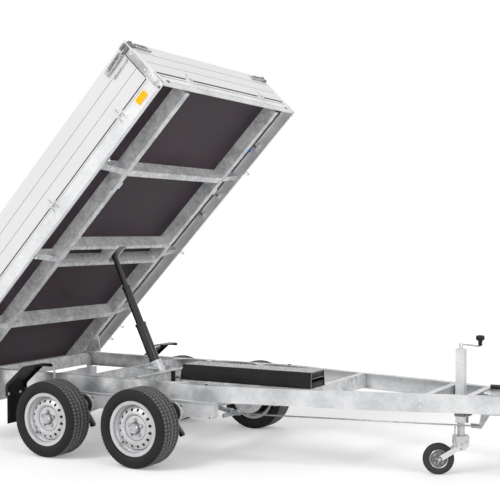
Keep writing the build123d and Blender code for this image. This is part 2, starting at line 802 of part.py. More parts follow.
def latch():
    """Over-centre latch at a panel's +X end at x 0, on its outer face: plate, cheeks, lever and tongue."""
    z = latch_middle_z()
    half = latch_height / 2
    plate = block(-latch_length, -4, -latch_plate, 0, z - half, z + half)
    plate = chamfer(plate.edges().filter_by(Axis.Y), 8)
    housing = [(-latch_length + 30, z + 2), (-latch_length + 46, z + half - 4), (-12, z + half - 4), (-6, z + 6),
               (-6, z - 8), (-60, z - 8), (-84, z + 2)]
    body = side_plate(housing, -latch_depth, -latch_plate + 0.5)
    window = side_plate(shrink(housing, latch_cheek), -latch_depth - 1, -latch_plate - 3)
    bar = [(-latch_length + 6, z - half + 3), (-latch_length + 6, z - half + 3 + latch_lever_height * 0.6),
           (-latch_length + 70, z - latch_lever_drop + latch_lever_height / 2), (-34, z - 4), (-20, z - 10),
           (-26, z - 18), (-latch_length + 60, z - half + 1)]
    lever = side_plate(bar, -latch_depth + 2, -latch_plate + 0.5)
    pivot = rod_y(-36, z - 10, 7, -latch_depth - 3, -latch_plate + 0.5)
    spring = Pos(-74, -latch_depth / 2 - 3, z + 8) * Rot(0, 90, 0) * Cylinder(4.5, 74)
    tongue = block(-60, panel_end_gap + latch_tongue, -latch_depth + 4, -latch_plate + 0.5,
                   z + 5 - latch_tongue_height / 2, z + 5 + latch_tongue_height / 2)
    return fused([plate, body - window, lever, pivot, spring, tongue])


def latch_keeper(post_width):
    """Two cheeks and their plate on the post, either side of the latch's tongue."""
    z = latch_middle_z() + 5
    half = latch_keeper_height / 2
    gap = latch_tongue_height / 2 + 1.5
    start = panel_end_gap + 2
    end = panel_end_gap + post_width - 8
    stop = panel_end_gap + latch_tongue + 2
    keeper = block(start, end, -2, 0, z - half, z + half)
    for low, high in ((z + gap, z + half - 3), (z - half + 3, z - gap)):
        keeper = keeper + block(start, end - 4, -latch_depth - 3, 0, low, high)
    return keeper + block(stop, end - 2, -latch_depth + 2, 0, z - gap, z + gap)


def panel_knuckle(x):
    """Middle knuckle and leaf on the panel's foot, bored for the frame's pin."""
    third = knuckle_length / 3
    barrel = Pos(x, -hinge_axis_out, -panel_gap) * Rot(0, 90, 0) * Cylinder(knuckle_radius, third)
    leaf = block(x - third / 2, x + third / 2, -hinge_axis_out, 0.5, knuckle_radius - panel_gap - 3, 44)
    bore = Pos(x, -hinge_axis_out, -panel_gap) * Rot(0, 90, 0) * Cylinder(3.6, third + 2)
    return barrel + leaf - bore


def dropside_ends():
    return bed_rear_u + post_size_u + panel_end_gap, bed_front_u - post_size_u - panel_end_gap


def dropside():
    """Right side panel in the bed's frame."""
    u0, u1 = dropside_ends()
    middle = (u0 + u1) / 2
    body = panel(u1 - u0)
    for u in panel_hinge_us:
        body = body + panel_knuckle(u - middle)
    return Pos(middle, -bed_half_width, frame_top_w + panel_gap) * body


def side_fittings(fitting):
    """A latch or keeper at both ends of the right side panel."""
    u0, u1 = dropside_ends()
    foot = frame_top_w + panel_gap
    front = Pos(u1, -bed_half_width, foot) * fitting
    rear = Pos(u0, -bed_half_width, foot) * mirror(fitting, about=Plane.YZ)
    return [front, rear]


def headboard_half():
    return bed_half_width - post_size_y - panel_end_gap


def headboard():
    body = panel(2 * headboard_half())
    for y in head_hinge_ys:
        body = body + panel_knuckle(y)
    return Pos(bed_front_u, 0, frame_top_w + panel_gap) * Rot(0, 0, 90) * body


def head_fittings(fitting):
    """A latch or keeper at both ends of the headboard."""
    place = Pos(bed_front_u, 0, frame_top_w + panel_gap) * Rot(0, 0, 90)
    left = Pos(headboard_half(), 0, 0) * fitting
    return [place * left, place * mirror(left, about=Plane.YZ)]


def tailgate():
    """Top-hung tail panel with a pin at each upper corner."""
    half = headboard_half()
    body = Pos(bed_rear_u, 0, frame_top_w + panel_gap) * Rot(0, 0, -90) * panel(2 * half)
    u = bed_rear_u + panel_thickness / 2
    for side in sides.values():
        y0, y1 = sorted((side * (half - 20), side * (bed_half_width - post_size_y + post_wall)))
        body = body + rod_y(u, tail_axis_w(), tail_pin_radius, y0, y1)
    return body


def cylinder_bracket():
    """Two ears between the paired crossmembers; the rod's cross pin ends against their inner faces."""
    low = floor_under_w - cross_depth
    ear = block(cross_b2_u, cross_b_u - cross_wall, ear_y, ear_y + ear_thickness, low + 6, floor_under_w - 6)
    pad = block(cross_b2_u, cross_b2_u + 6, ear_y - 14, ear_y + ear_thickness + 14, low + 6, floor_under_w - 6)
    slot_u0 = cross_b_u - cross_flange_b - 1
    relief = block(slot_u0, cross_b_u - cross_wall, ear_y - 1, ear_y + ear_thickness + 1, low, low + cross_wall)
    return both(ear + pad - relief)


def reflectors():
    lens = block(reflector_u - reflector_length / 2, reflector_u + reflector_length / 2, bed_half_width,
                 bed_half_width + reflector_thickness, 44 - reflector_height / 2, 44 + reflector_height / 2)
    return both(fillet(lens.edges().filter_by(Axis.Y), 8))


# cylinder, laid out along its own axis: z 0 at the trunnion, +z to the eye

def eye_at_rest():
    a = radians(tilt)
    return (hinge_x + eye_u * cos(a) - eye_w * sin(a), hinge_z + eye_u * sin(a) + eye_w * cos(a))


def cylinder_place():
    eye = eye_at_rest()
    lean = degrees(atan2(eye[0] - trunnion_x, eye[1] - trunnion_z))
    return Pos(trunnion_x, 0, trunnion_z) * Rot(0, lean, 0)


def eye_distance():
    eye = eye_at_rest()
    return hypot(eye[0] - trunnion_x, eye[1] - trunnion_z)


def cylinder_body():
    tube = rod_z(0, 0, body_radius, -body_below, collar_above) + rod_z(0, 0, collar_radius, -collar_below, collar_above)
    tube = tube - rod_z(0, 0, stage_radii[0] + slide_clearance, -body_below + body_floor, collar_above + 1)
    for side in sides.values():
        y0, y1 = sorted((side * (body_radius - 4), side * (bearer_y + 2 * bearer_thickness + 4)))
        tube = tube + rod_y(0, 0, trunnion_pin_radius, y0, y1)
        flange0, flange1 = sorted((side * (body_radius - 4), side * (bearer_y - 2)))
        tube = tube + rod_y(0, 0, trunnion_pin_radius + 8, flange0, flange1)
    return tube - rod_z(0, 0, stage_radii[0] + slide_clearance, -body_below + body_floor, collar_above + 1)


def stage(index):
    """Hollow stage, its collar above the collar of the stage it slides in, drawn out."""
    outer = stage_radii[index]
    top = collar_above + (index + 1) * (eye_distance() - collar_above) / (len(stage_radii) + 1)
    tube = rod_z(0, 0, outer, top - stage_length, top)
    tube = tube + rod_z(0, 0, outer + stage_collar_lip, top - stage_collar, top)
    next_radius = stage_radii[index + 1] if index + 1 < len(stage_radii) else rod_radius
    return tube - rod_z(0, 0, next_radius + slide_clearance, top - stage_length + 6, top + 1)


def rod():
    top = eye_distance()
    low = top - stage_length - 40
    head = rod_y(0, top, rod_radius - 1, 5 - rod_radius, rod_radius - 5)
    pin = rod_y(0, top, eye_pin_radius, -ear_y + seat_gap, ear_y - seat_gap)
    return rod_z(0, 0, rod_radius, low, top) + head + pin


# ramps, drawbar, jockey wheel, coupling and lamps

def ramp(level):
    """One loading ramp lying on its back: a ribbed tray, open below and at its front end, nested on the next."""
    z0 = beam_top_z - beam_wall + seat_gap + level * (ramp_height - ramp_nesting + seat_gap)
    y0 = ramp_right_y
    y1 = ramp_right_y + ramp_width
    shoulder = z0 + ramp_height - ramp_nesting
    z1 = z0 + ramp_height
    x0 = ramp_rear_x + level * ramp_setback
    x1 = ramp_rear_x + ramp_length
    outline = [(y0, z0), (y1, z0), (y1, shoulder), (y1 - ramp_step, shoulder), (y1 - ramp_step, z1),
               (y0 + ramp_step, z1), (y0 + ramp_step, shoulder), (y0, shoulder)]
    body = cross_section(outline, x0, x1)
    skirt = block(x0 + ramp_wall, x1 + 1, y0 + ramp_wall, y1 - ramp_wall, z0 - 1, shoulder - ramp_wall)
    deck = block(x0 + ramp_wall, x1 + 1, y0 + ramp_step + ramp_wall, y1 - ramp_step - ramp_wall, z0 - 1, z1 - ramp_wall)
    body = body - skirt - deck
    rib_x = x0 + ramp_rib_pitch
    while rib_x < x1 - ramp_rib:
        body = body + block(rib_x, rib_x + ramp_rib, y0 + ramp_step + 1, y1 - ramp_step - 1,
                            shoulder + seat_gap + 4, z1 - 1)
        rib_x += ramp_rib_pitch
    return body


def jockey_outer():
    half = jockey_tube / 2
    inner = half - jockey_tube_wall
    tube = block(-half, half, -half, half, jockey_tube_bottom, jockey_tube_top)
    tube = tube - block(-inner, inner, -inner, inner, jockey_tube_bottom - 1, jockey_tube_top - 4)
    guide = block(-half, half, -half, half, jockey_tube_bottom, jockey_tube_bottom + 24)
    tube = tube + guide - rod_z(0, 0, jockey_leg_radius + 0.08, jockey_tube_bottom - 1, jockey_tube_bottom + 25)
    lug = block(-9, 9, -9, 9, jockey_tube_top, jockey_tube_top + 18)
    return Pos(jockey_x, 0, 0) * (tube + lug)


def jockey_clamp():
    """Plate between the drawbar's crossmembers with the split sleeve that grips the jockey tube."""
    half = jockey_tube / 2
    low = beam_top_z - beam_height
    upper = block(jockey_cross_x, nose_cross_x + channel_flange, -70, 70, low + beam_wall - 6, low + beam_wall)
    hole = block(jockey_x - half, jockey_x + half, -half, half, low - 200, low + 20)
    wall = half + 5
    foot = low - 60
    sleeve = block(jockey_x - wall, jockey_x + wall, -wall, wall, foot, low)
    ears = [block(jockey_x + wall, jockey_x + wall + 34, y0, y0 + 8, foot + 6, foot + 46) for y0 in (-22, 14)]
    bolt = rod_y(jockey_x + wall + 19, foot + 26, 7, -30, 30)
    grip = block(jockey_x + wall + 13, jockey_x + wall + 25, -40, -28, foot - 34, foot + 34)
    outline = [(jockey_x - 34, low), (jockey_x + 34, low), (jockey_x, foot + 10)]
    gussets = [side_plate(outline, y0, y0 + 5) for y0 in (-wall - 5, wall)]
    return fused([upper, sleeve] + ears + [bolt, grip] + gussets) - hole


def jockey_crank():
    z = jockey_tube_top + 18
    arm_end = 112
    hub = rod_z(0, 0, 11, z, z + 14)
    arm = block(0, arm_end, -6, 6, z + 4, z + 9)
    post = rod_z(arm_end - 4, 0, 6, z + 4, z + 26)
    knob = rod_z(arm_end - 4, 0, 12, z + 24, z + 40) + rod_z(arm_end - 4, 0, 25, z + 40, z + 62)
    return Pos(jockey_x, 0, 0) * Rot(0, 0, jockey_yaw) * (hub + arm + post + knob)


def jockey_leg():
    return rod_z(jockey_x, 0, jockey_leg_radius, jockey_leg_bottom, jockey_leg_top)


def jockey_place():
    return Pos(jockey_x, 0, 0) * Rot(0, 0, jockey_yaw)


def jockey_fork():
    """Side plates under the leg and the fork's two bars down to the wheel's axle, trailing to -X."""
    top = jockey_leg_bottom - seat_gap
    half = jockey_fork_gap / 2
    cap = block(-48, 48, -half - jockey_fork_plate, half + jockey_fork_plate, top - 8, top)
    outline = [(-48, top - 8), (48, top - 8), (46, top - 60), (20, top - 92), (-30, top - 92), (-52, top - 50)]
    slope = atan2(top - 62 - jockey_wheel_radius, jockey_trail)
    bar = Pos(-jockey_trail / 2, 0, (top - 62 + jockey_wheel_radius) / 2) * Rot(0, -degrees(slope), 0)
    length = hypot(jockey_trail, top - 62 - jockey_wheel_radius)
    parts = [cap]
    for side in sides.values():
        y0, y1 = sorted((side * half, side * (half + jockey_fork_plate)))
        parts.append(side_plate(outline, y0, y1))
        parts.append(bar * Box(length + 36, jockey_fork_plate, 34).moved(Location((0, (y0 + y1) / 2, 0))))
    parts.append(rod_y(-jockey_trail, jockey_wheel_radius, 8, -half - jockey_fork_plate - 4, half + jockey_fork_plate + 4))
    return fused(parts)


def jockey_tyre():
    half = jockey_wheel_width / 2
    r = jockey_wheel_radius
    inner = jockey_rim_radius + seat_gap
    points = [(inner, -half + 6), (inner + 10, -half), (r - 14, -half), (r - 3, -half + 8), (r, -half + 14), (r, half - 14),
              (r - 3, half - 8), (r - 14, half), (inner + 10, half), (inner, half - 6)]
    return Pos(-jockey_trail, 0, r) * turned(points)


def jockey_rim():
    half = jockey_wheel_width / 2
    bore = 8 + 0.3
    points = [(bore, -half - 2), (20, -half - 2), (22, -10), (46, -8), (jockey_rim_radius, -half + 4),
              (jockey_rim_radius, half - 4), (46, 8), (22, 10), (20, half + 2), (bore, half + 2)]
    return Pos(-jockey_trail, 0, jockey_wheel_radius) * turned(points)


def overrun_housing():
    half = housing_width / 2
    z0 = coupling_z - housing_height / 2
    z1 = coupling_z + housing_height / 2
    body = block(housing_rear_x, housing_front_x, -half, half, z0, z1)
    body = fillet(body.edges().filter_by(Axis.X), 12)
    low = beam_top_z - beam_height
    plates = []
    for z in (low - 6, beam_top_z):
        y0 = beam_y(housing_rear_x + 60)
        y1 = beam_y(housing_front_x)
        outline = [(housing_rear_x + 60, -y0), (housing_front_x, -y1), (housing_front_x, y1), (housing_rear_x + 60, y0)]
        plates.append(plan(outline, z, z + 6))
    ribs = block(housing_rear_x + 90, housing_front_x - 10, -half + 10, half - 10, low, beam_top_z)
    tip = coupling_z - link_below_coupling - 14
    lever = side_plate([(housing_rear_x - 26, tip), (housing_rear_x - 8, tip), (housing_rear_x + 60, z0 - 28),
                        (housing_rear_x + 60, z0), (housing_rear_x, z0)], -78, -66)
    arm = block(housing_rear_x + 14, housing_rear_x + 50, -78, -half + 2, z0 - 18, z0)
    return fused([body, ribs] + plates + [lever, arm])


def shaft_bellows():
    """Folded rubber sleeve round the coupling shaft."""
    folds = 6
    pitch = bellows_length / folds
    points = [(30.3, 0)]
    for i in range(folds):
        points += [(bellows_radius - bellows_fold, i * pitch), (bellows_radius, (i + 0.5) * pitch)]
    points += [(bellows_radius - bellows_fold, bellows_length), (30.3, bellows_length)]
    shape = turned(points)
    return Pos(housing_front_x + seat_gap, 0, coupling_z) * Rot(0, 0, -90) * shape


def coupling_head():
    """Shaft and ball head in one, with the socket open below and the release handle on top."""
    start = housing_front_x
    shaft = Pos((start + ball_x - 60) / 2, 0, coupling_z) * Rot(0, 90, 0) * Cylinder(30, ball_x - 60 - start)
    head0 = ball_x - head_length / 2 - 20
    outline = [(head0, coupling_z - 34), (ball_x - 40, coupling_z - 44), (ball_x + 44, coupling_z - 44),
               (ball_x + 58, coupling_z - 10), (ball_x + 40, coupling_z + 34), (ball_x - 50, coupling_z + 44),
               (head0, coupling_z + 34)]
    head = side_plate(outline, -44, 44)
    waist = [(head0 - 1, -34), (head0 + 40, -34), (ball_x - 36, -44), (ball_x + 30, -44), (ball_x + 59, -26),
             (ball_x + 59, 26), (ball_x + 30, 44), (ball_x - 36, 44), (head0 + 40, 34), (head0 - 1, 34)]
    head = head & plan(waist, coupling_z - 60, coupling_z + 60)
    head = head - rod_z(ball_x, 0, ball_socket_radius, coupling_z - 60, coupling_z - 22)
    ball = Pos(ball_x, 0, coupling_z - 22) * Sphere(ball_socket_radius)
    handle = [(head0 + 10, coupling_z + 40), (ball_x - 34, coupling_z + 43), (ball_x - 34, coupling_z + 58),
              (head0 - 20, coupling_z + 76), (head0 - 70, coupling_z + 84), (head0 - 74, coupling_z + 70),
              (head0 - 22, coupling_z + 62)]
    return shaft + head - ball + side_plate(handle, -16, 16)


def handbrake():
    """Hand lever at rest along the drawbar, its grip towards the bed."""
    pivot = (housing_front_x - 40, coupling_z + 66)
    grip_end = housing_rear_x + 10
    y = 66
    arm = block(grip_end + 110, pivot[0] + 20, y - 5, y + 5, pivot[1] - 14, pivot[1] + 6)
    boss = rod_y(pivot[0], pivot[1] - 4, 15, 40, y + 8)
    grip = Pos(grip_end + 60, y, pivot[1] - 4) * Rot(0, 90, 0) * Cylinder(14, 120)
    foot = block(pivot[0] - 20, pivot[0] + 20, 30, 58, beam_top_z + 6, pivot[1])
    return fused([arm, boss, grip, foot])


def lamp_board():
    x1 = beam_rear_x + 40
    board = block(x1 - 4, x1, -lamp_board_half, lamp_board_half, lamp_board_z - lamp_board_height / 2,
                  lamp_board_z + lamp_board_height / 2)
    low = beam_top_z - beam_height
    hanger = block(x1 - 4, x1 + 36, 570, 600, lamp_board_z - 20, low)
    return fused([board, hanger, other_side(hanger)])


def tail_lamps():
    x1 = beam_rear_x + 36
    lamp = block(x1 - lamp_depth, x1, lamp_board_half - lamp_width - 10, lamp_board_half - 10,
                 lamp_board_z - lamp_board_height / 2 + 4, lamp_board_z + lamp_board_height / 2 - 4)
    return both(fillet(lamp.edges().filter_by(Axis.X), 10))


def build():
    beam = side_beam()
    keep("side_beam_left", beam)
    keep("side_beam_right", other_side(beam))
    keep("chassis_crossmembers", chassis_crossmembers())
    keep("cylinder_bearers", cylinder_bearers())
    keep("bed_hinge_brackets", hinge_brackets())
    keep("axle_carriers", both(axle_mounts()))
    keep("axle_tubes", axle_tubes())
    keep("swing_arms", swing_arms())
    keep("axle_dampers", dampers())
    keep("brake_linkage", brake_linkage())
    keep("mudguards", mudguards())
    keep("mudguard_stays", mudguard_stays())
    keep("ramps", [ramp(0), ramp(1)])
    keep("jockey_tube", jockey_outer())
    keep("jockey_clamp", jockey_clamp())
    keep("jockey_crank", jockey_crank())
    keep("overrun_housing", overrun_housing())
    keep("shaft_bellows", shaft_bellows())
    keep("coupling_head", coupling_head())
    keep("handbrake_lever", handbrake())
    keep("lamp_board", lamp_board())
    keep("tail_lamps", tail_lamps())

    place = cylinder_place()
    keep("cylinder_body", cylinder_body(), place)
    keep("cylinder_stage_1", stage(0), place)
    keep("cylinder_stage_2", stage(1), place)
    keep("cylinder_rod", rod(), place)

    keep("bed_side_frames", both(side_frame()), rest_beam)
    keep("bed_end_rails", [end_rail(True), end_rail(False)], rest_beam)
    keep("bed_longerons", both(longeron()), rest_beam)
    keep("bed_crossmembers", crossmembers(), rest_beam)
    keep("bed_outriggers", outriggers(), rest_beam)
    keep("bed_floor", floor_plate(), rest_beam)
    keep("corner_posts", corner_posts(), rest_beam)
    keep("cylinder_bracket", cylinder_bracket(), rest_beam)
    keep("side_reflectors", reflectors(), rest_beam)
    right = dropside()
    keep("dropside_right", right, rest_beam)
    keep("dropside_left", other_side(right), rest_beam)
    latches = side_fittings(latch())
    keepers = side_fittings(latch_keeper(post_size_u))
    keep("dropside_latches_right", latches, rest_beam)
    keep("dropside_latches_left", [other_side(fitting) for fitting in latches], rest_beam)
    keep("headboard_latches", head_fittings(latch()), rest_beam)
    keep("latch_keepers", keepers + [other_side(fitting) for fitting in keepers]
         + head_fittings(latch_keeper(post_size_y)), rest_beam)
    keep("headboard", headboard(), rest_beam)
    keep("tailgate", tailgate(), rest_beam)

    shapes = {"tyre": tyre(), "rim": rim(), "drum": drum()}
    for axle, x in wheel_xs.items():
        for side, sign in sides.items():
            for name, shape in shapes.items():
                keep(name + "_" + axle + "_" + side, wheel_at(shape, x, sign))

    keep("jockey_leg", jockey_leg())
    keep("jockey_fork", jockey_fork(), jockey_place())
    keep("jockey_tyre", jockey_tyre(), jockey_place())
    keep("jockey_rim", jockey_rim(), jockey_place())


def origin_x():
    a = radians(tilt)
    rear = hinge_x + bed_rear_u * cos(a) - post_top_w * sin(a)
    nose = ball_x + 58
    return (rear + nose) / 2


def write():
    os.makedirs("parts", exist_ok=True)
    shift = Pos(-origin_x(), 0, 0)
    for name, solids in nodes.items():
        moved = [shift * solid for solid in solids]
        export_step(moved[0] if len(moved) == 1 else Compound(children=moved), "parts/" + name + ".step")


build()
write()
print("origin_x", round(origin_x(), 3), "eye distance", round(eye_distance(), 2))
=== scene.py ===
import json
from math import cos, pi, radians, sin

import bmesh
import bpy
from mathutils import Matrix, Vector


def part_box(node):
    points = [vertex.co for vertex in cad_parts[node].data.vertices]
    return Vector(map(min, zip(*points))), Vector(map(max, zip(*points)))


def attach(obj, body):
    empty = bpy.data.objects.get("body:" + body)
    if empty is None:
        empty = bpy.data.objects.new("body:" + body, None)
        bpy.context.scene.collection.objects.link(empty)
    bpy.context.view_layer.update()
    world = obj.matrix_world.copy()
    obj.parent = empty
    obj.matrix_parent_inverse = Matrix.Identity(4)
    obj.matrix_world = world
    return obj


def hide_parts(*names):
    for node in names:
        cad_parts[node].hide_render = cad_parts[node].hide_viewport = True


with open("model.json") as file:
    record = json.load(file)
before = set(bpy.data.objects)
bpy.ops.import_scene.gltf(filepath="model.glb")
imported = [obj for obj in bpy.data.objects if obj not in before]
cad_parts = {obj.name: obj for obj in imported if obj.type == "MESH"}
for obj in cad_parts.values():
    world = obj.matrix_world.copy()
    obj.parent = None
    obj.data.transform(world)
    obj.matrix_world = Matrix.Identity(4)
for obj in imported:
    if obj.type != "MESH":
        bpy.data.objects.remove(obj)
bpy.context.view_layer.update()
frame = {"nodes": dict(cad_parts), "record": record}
nodes = frame["nodes"]

# the trailer is laid out from the middle of its axle pair; shift brings that point into the shared frame
wheelBoxes = [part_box("rim_front_right"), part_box("rim_rear_right")]
shift = sum(corner[0] for box in wheelBoxes for corner in box) / 4
tiltDegrees = 45.57


def frameAt(x, z, turn=0.0, axis="Y"):
    return Matrix.Translation((x + shift, 0, z)) @ Matrix.Rotation(radians(turn), 4, axis)


bedFrame = frameAt(-1.137, 0.690, -tiltDegrees)
chassisFrame = frameAt(0, 0)
cylinderFrame = frameAt(-0.032, 0.530, -25.472)
jockeyFrame = frameAt(2.306, 0, 28.8, "Z")
wheelPlaces = {"front_right": (0.37, -1), "front_left": (0.37, 1), "rear_right": (-0.37, -1), "rear_left": (-0.37, 1)}
bothSides = (-1, 1)
right, left, up, down, ahead, back = (0, -1, 0), (0, 1, 0), (0, 0, 1), (0, 0, -1), (1, 0, 0), (-1, 0, 0)
print("frame loaded, nodes:", len(nodes))


# nodes of any tree: an input takes a plain value or another node's output

def setInputs(tree, node, inputs):
    for label, value in inputs.items():
        socket = node.inputs[label]
        if isinstance(value, bpy.types.NodeSocket):
            tree.links.new(value, socket)
        else:
            socket.default_value = (*value, 1) if socket.type == "RGBA" else value


def putNode(tree, kind, inputs=None, **settings):
    node = tree.nodes.new(kind)
    for label, value in settings.items():
        setattr(node, label, value)
    setInputs(tree, node, inputs or {})
    return node


def mathNode(tree, operation, first, second, clamp=False):
    return putNode(tree, "ShaderNodeMath", {0: first, 1: second}, operation=operation, use_clamp=clamp).outputs[0]


def noiseNode(tree, vector, scale, detail=4.0, roughness=0.55):
    inputs = {"Vector": vector, "Scale": scale, "Detail": detail, "Roughness": roughness}
    return putNode(tree, "ShaderNodeTexNoise", inputs).outputs["Fac"]


def spreadNode(tree, value, low, high, toLow=0.0, toHigh=1.0):
    inputs = {"Value": value, "From Min": low, "From Max": high, "To Min": toLow, "To Max": toHigh}
    return putNode(tree, "ShaderNodeMapRange", inputs).outputs["Result"]


def mixColors(tree, factor, first, second):
    return putNode(tree, "ShaderNodeMix", {0: factor, 6: first, 7: second}, data_type="RGBA").outputs[2]


def linkObject(name, data):
    made = bpy.data.objects.new(name, data)
    bpy.context.scene.collection.objects.link(made)
    return made


# camera and light

camera = {"place": (4.3885 + shift, -6.3215, 1.5333), "turn": 28.801, "pitch": -1.209, "roll": -0.185,
          "lens": 74.26, "sensor": 36, "shiftX": -0.0375, "shiftY": 0.0115, "far": 200}


def makeCamera():
    turn, pitch, roll = radians(camera["turn"]), radians(camera["pitch"]), radians(camera["roll"])
    forward = Vector((-sin(turn) * cos(pitch), cos(turn) * cos(pitch), sin(pitch)))
    level = Vector((cos(turn), sin(turn), 0))
    upright = level.cross(forward)
    side = cos(roll) * level + sin(roll) * upright
    top = -sin(roll) * level + cos(roll) * upright
    data = bpy.data.cameras.new("photoCamera")
    data.sensor_width = camera["sensor"]
    data.lens = camera["lens"]
    data.shift_x = camera["shiftX"]
    data.shift_y = camera["shiftY"]
    data.clip_end = camera["far"]
    cameraObject = linkObject("photoCamera", data)
    basis = Matrix((side, top, -forward)).transposed().to_4x4()
    cameraObject.matrix_world = Matrix.Translation(Vector(camera["place"])) @ basis
    bpy.context.scene.camera = cameraObject


studio = {"skyLevel": 0.62, "sunLevel": 1.15, "sunFrom": (-2.5, -6.0, 6.5), "sunSpread": 24,
          "fillLevel": 0.50, "fillFrom": (7.0, -2.0, 3.0), "floorColor": (0.90, 0.90, 0.905), "floorLift": 0.24,
          "floorHalf": 60, "floorZ": -0.001}


def makeSun(name, level, source):
    data = bpy.data.lights.new(name, "SUN")
    data.energy = level
    data.angle = radians(studio["sunSpread"])
    linkObject(name, data).rotation_euler = Vector(source).to_track_quat("Z", "Y").to_euler()


# straight rays and mirrored ones see a white backdrop, the rest gets the dimmer sky
def makeWorld():
    world = bpy.data.worlds.new("studioWorld")
    bpy.context.scene.world = world
    world.use_nodes = True
    tree = world.node_tree
    tree.nodes.clear()
    path = putNode(tree, "ShaderNodeLightPath").outputs
    seen = path["Is Camera Ray"]
    for ray in ("Is Glossy Ray", "Is Transmission Ray"):
        seen = mathNode(tree, "MAXIMUM", seen, path[ray])
    sky, backdrop = (putNode(tree, "ShaderNodeBackground", {"Color": (1, 1, 1), "Strength": level}).outputs[0]
                     for level in (studio["skyLevel"], 1))
    mix = putNode(tree, "ShaderNodeMixShader", {0: seen, 1: sky, 2: backdrop})
    putNode(tree, "ShaderNodeOutputWorld", {"Surface": mix.outputs[0]})


def makeFloor():
    half, z = studio["floorHalf"], studio["floorZ"]
    mesh = bpy.data.meshes.new("studioFloor")
    mesh.from_pydata([(-half, -half, z), (half, -half, z), (half, half, z), (-half, half, z)], [], [(0, 1, 2, 3)])
    floor = linkObject("studioFloor", mesh)
    material = bpy.data.materials.new("paleFloor")
    material.use_nodes = True
    tree = material.node_tree
    straight = putNode(tree, "ShaderNodeLightPath").outputs["Is Camera Ray"]
    setInputs(tree, tree.nodes["Principled BSDF"], {
        "Base Color": studio["floorColor"], "Roughness": 0.9, "Specular IOR Level": 0.1, "Emission Color": (1, 1, 1),
        "Emission Strength": mathNode(tree, "MULTIPLY", straight, studio["floorLift"])})
    mesh.materials.append(material)


bpy.context.scene.view_settings.view_transform = "Standard"
makeCamera()
makeWorld()
makeSun("keySun", studio["sunLevel"], studio["sunFrom"])
makeSun("fillSun", studio["fillLevel"], studio["fillFrom"])
makeFloor()
print("camera and studio made")


# shared surface effects: each mixes two tones and two roughnesses and gives a height

def newEffect(name, tones, rates):
    group = bpy.data.node_groups.new(name, "ShaderNodeTree")
    sockets = [("Vector", "INPUT", "Vector")] + [(label, "INPUT", "Color") for label in tones]
    sockets += [(label, "INPUT", "Float") for label in (*rates, "Smoothest", "Roughest")]
    sockets += [("Color", "OUTPUT", "Color"), ("Roughness", "OUTPUT", "Float"), ("Height", "OUTPUT", "Float")]
    for label, way, kind in sockets:
        group.interface.new_socket(label, in_out=way, socket_type="NodeSocket" + kind)
    return group, group.nodes.new("NodeGroupInput").outputs


# the effect's two tones are its second and third inputs
def endEffect(group, source, tone, height):
    roughness = spreadNode(group, tone, 0.0, 1.0, source["Smoothest"], source["Roughest"])
    putNode(group, "NodeGroupOutput", {"Color": mixColors(group, tone, source[1], source[2]),
                                       "Roughness": roughness, "Height": height})
    return group


# zinc crystals over slow cloudy patches
spangle = {"cloudLow": 0.36, "cloudHigh": 0.64, "finePerMetre": 260.0, "fineShare": 0.06}


def spangleGroup():
    group, source = newEffect("zincSpangle", ("Light Zinc", "Dark Zinc"),
                              ("Crystals Per Metre", "Clouds Per Metre", "Crystal Share"))
    vector, share = source["Vector"], source["Crystal Share"]
    crystals = putNode(group, "ShaderNodeTexVoronoi", {"Vector": vector, "Scale": source["Crystals Per Metre"]})
    parts = putNode(group, "ShaderNodeSeparateColor", {0: crystals.outputs["Color"]})
    clouds = spreadNode(group, noiseNode(group, vector, source["Clouds Per Metre"], 5.0, 0.6),
                        spangle["cloudLow"], spangle["cloudHigh"])
    fine = noiseNode(group, vector, spangle["finePerMetre"], 3.0)
    crystalTone = mathNode(group, "MULTIPLY", parts.outputs[0], share)
    cloudTone = mathNode(group, "MULTIPLY", clouds, mathNode(group, "SUBTRACT", 1 - spangle["fineShare"], share))
    tone = mathNode(group, "ADD", mathNode(group, "ADD", crystalTone, cloudTone),
                    mathNode(group, "MULTIPLY", fine, spangle["fineShare"]), True)
    return endEffect(group, source, tone, mathNode(group, "ADD", fine, crystalTone))


# fine even grain with slow patches, for plastic, rubber, lacquer and castings
def grainGroup():
    group, source = newEffect("fineGrain", ("Base Tone", "Worn Tone"), ("Grains Per Metre", "Patches Per Metre"))
    patches = spreadNode(group, noiseNode(group, source["Vector"], source["Patches Per Metre"], 6.0, 0.62), 0.38, 0.66)
    return endEffect(group, source, patches, noiseNode(group, source["Vector"], source["Grains Per Metre"], 2.0))


# long faint strokes along the bed, as on drawn or extruded metal
strokeShape = {"size": (1.25, 0.042, 0.0063), "scale": 1.6, "patchesPerMetre": 1.7, "strokeShare": 0.6,
               "patchShare": 0.4, "low": 0.35, "high": 0.65}


def brushGroup():
    group, source = newEffect("drawnStrokes", ("Base Tone", "Stroke Tone"), ())
    stretch = putNode(group, "ShaderNodeMapping", {
        "Vector": source["Vector"], "Rotation": (0, -radians(tiltDegrees), 0), "Scale": strokeShape["size"]},
        vector_type="TEXTURE")
    strokes = noiseNode(group, stretch.outputs[0], strokeShape["scale"], 4.0)
    patches = noiseNode(group, source["Vector"], strokeShape["patchesPerMetre"], 3.0)
    tone = mathNode(group, "ADD", mathNode(group, "MULTIPLY", strokes, strokeShape["strokeShare"]),
                    mathNode(group, "MULTIPLY", patches, strokeShape["patchShare"]))
    return endEffect(group, source, spreadNode(group, tone, strokeShape["low"], strokeShape["high"]), strokes)


effects = {"zincSpangle": spangleGroup(), "fineGrain": grainGroup(), "drawnStrokes": brushGroup()}


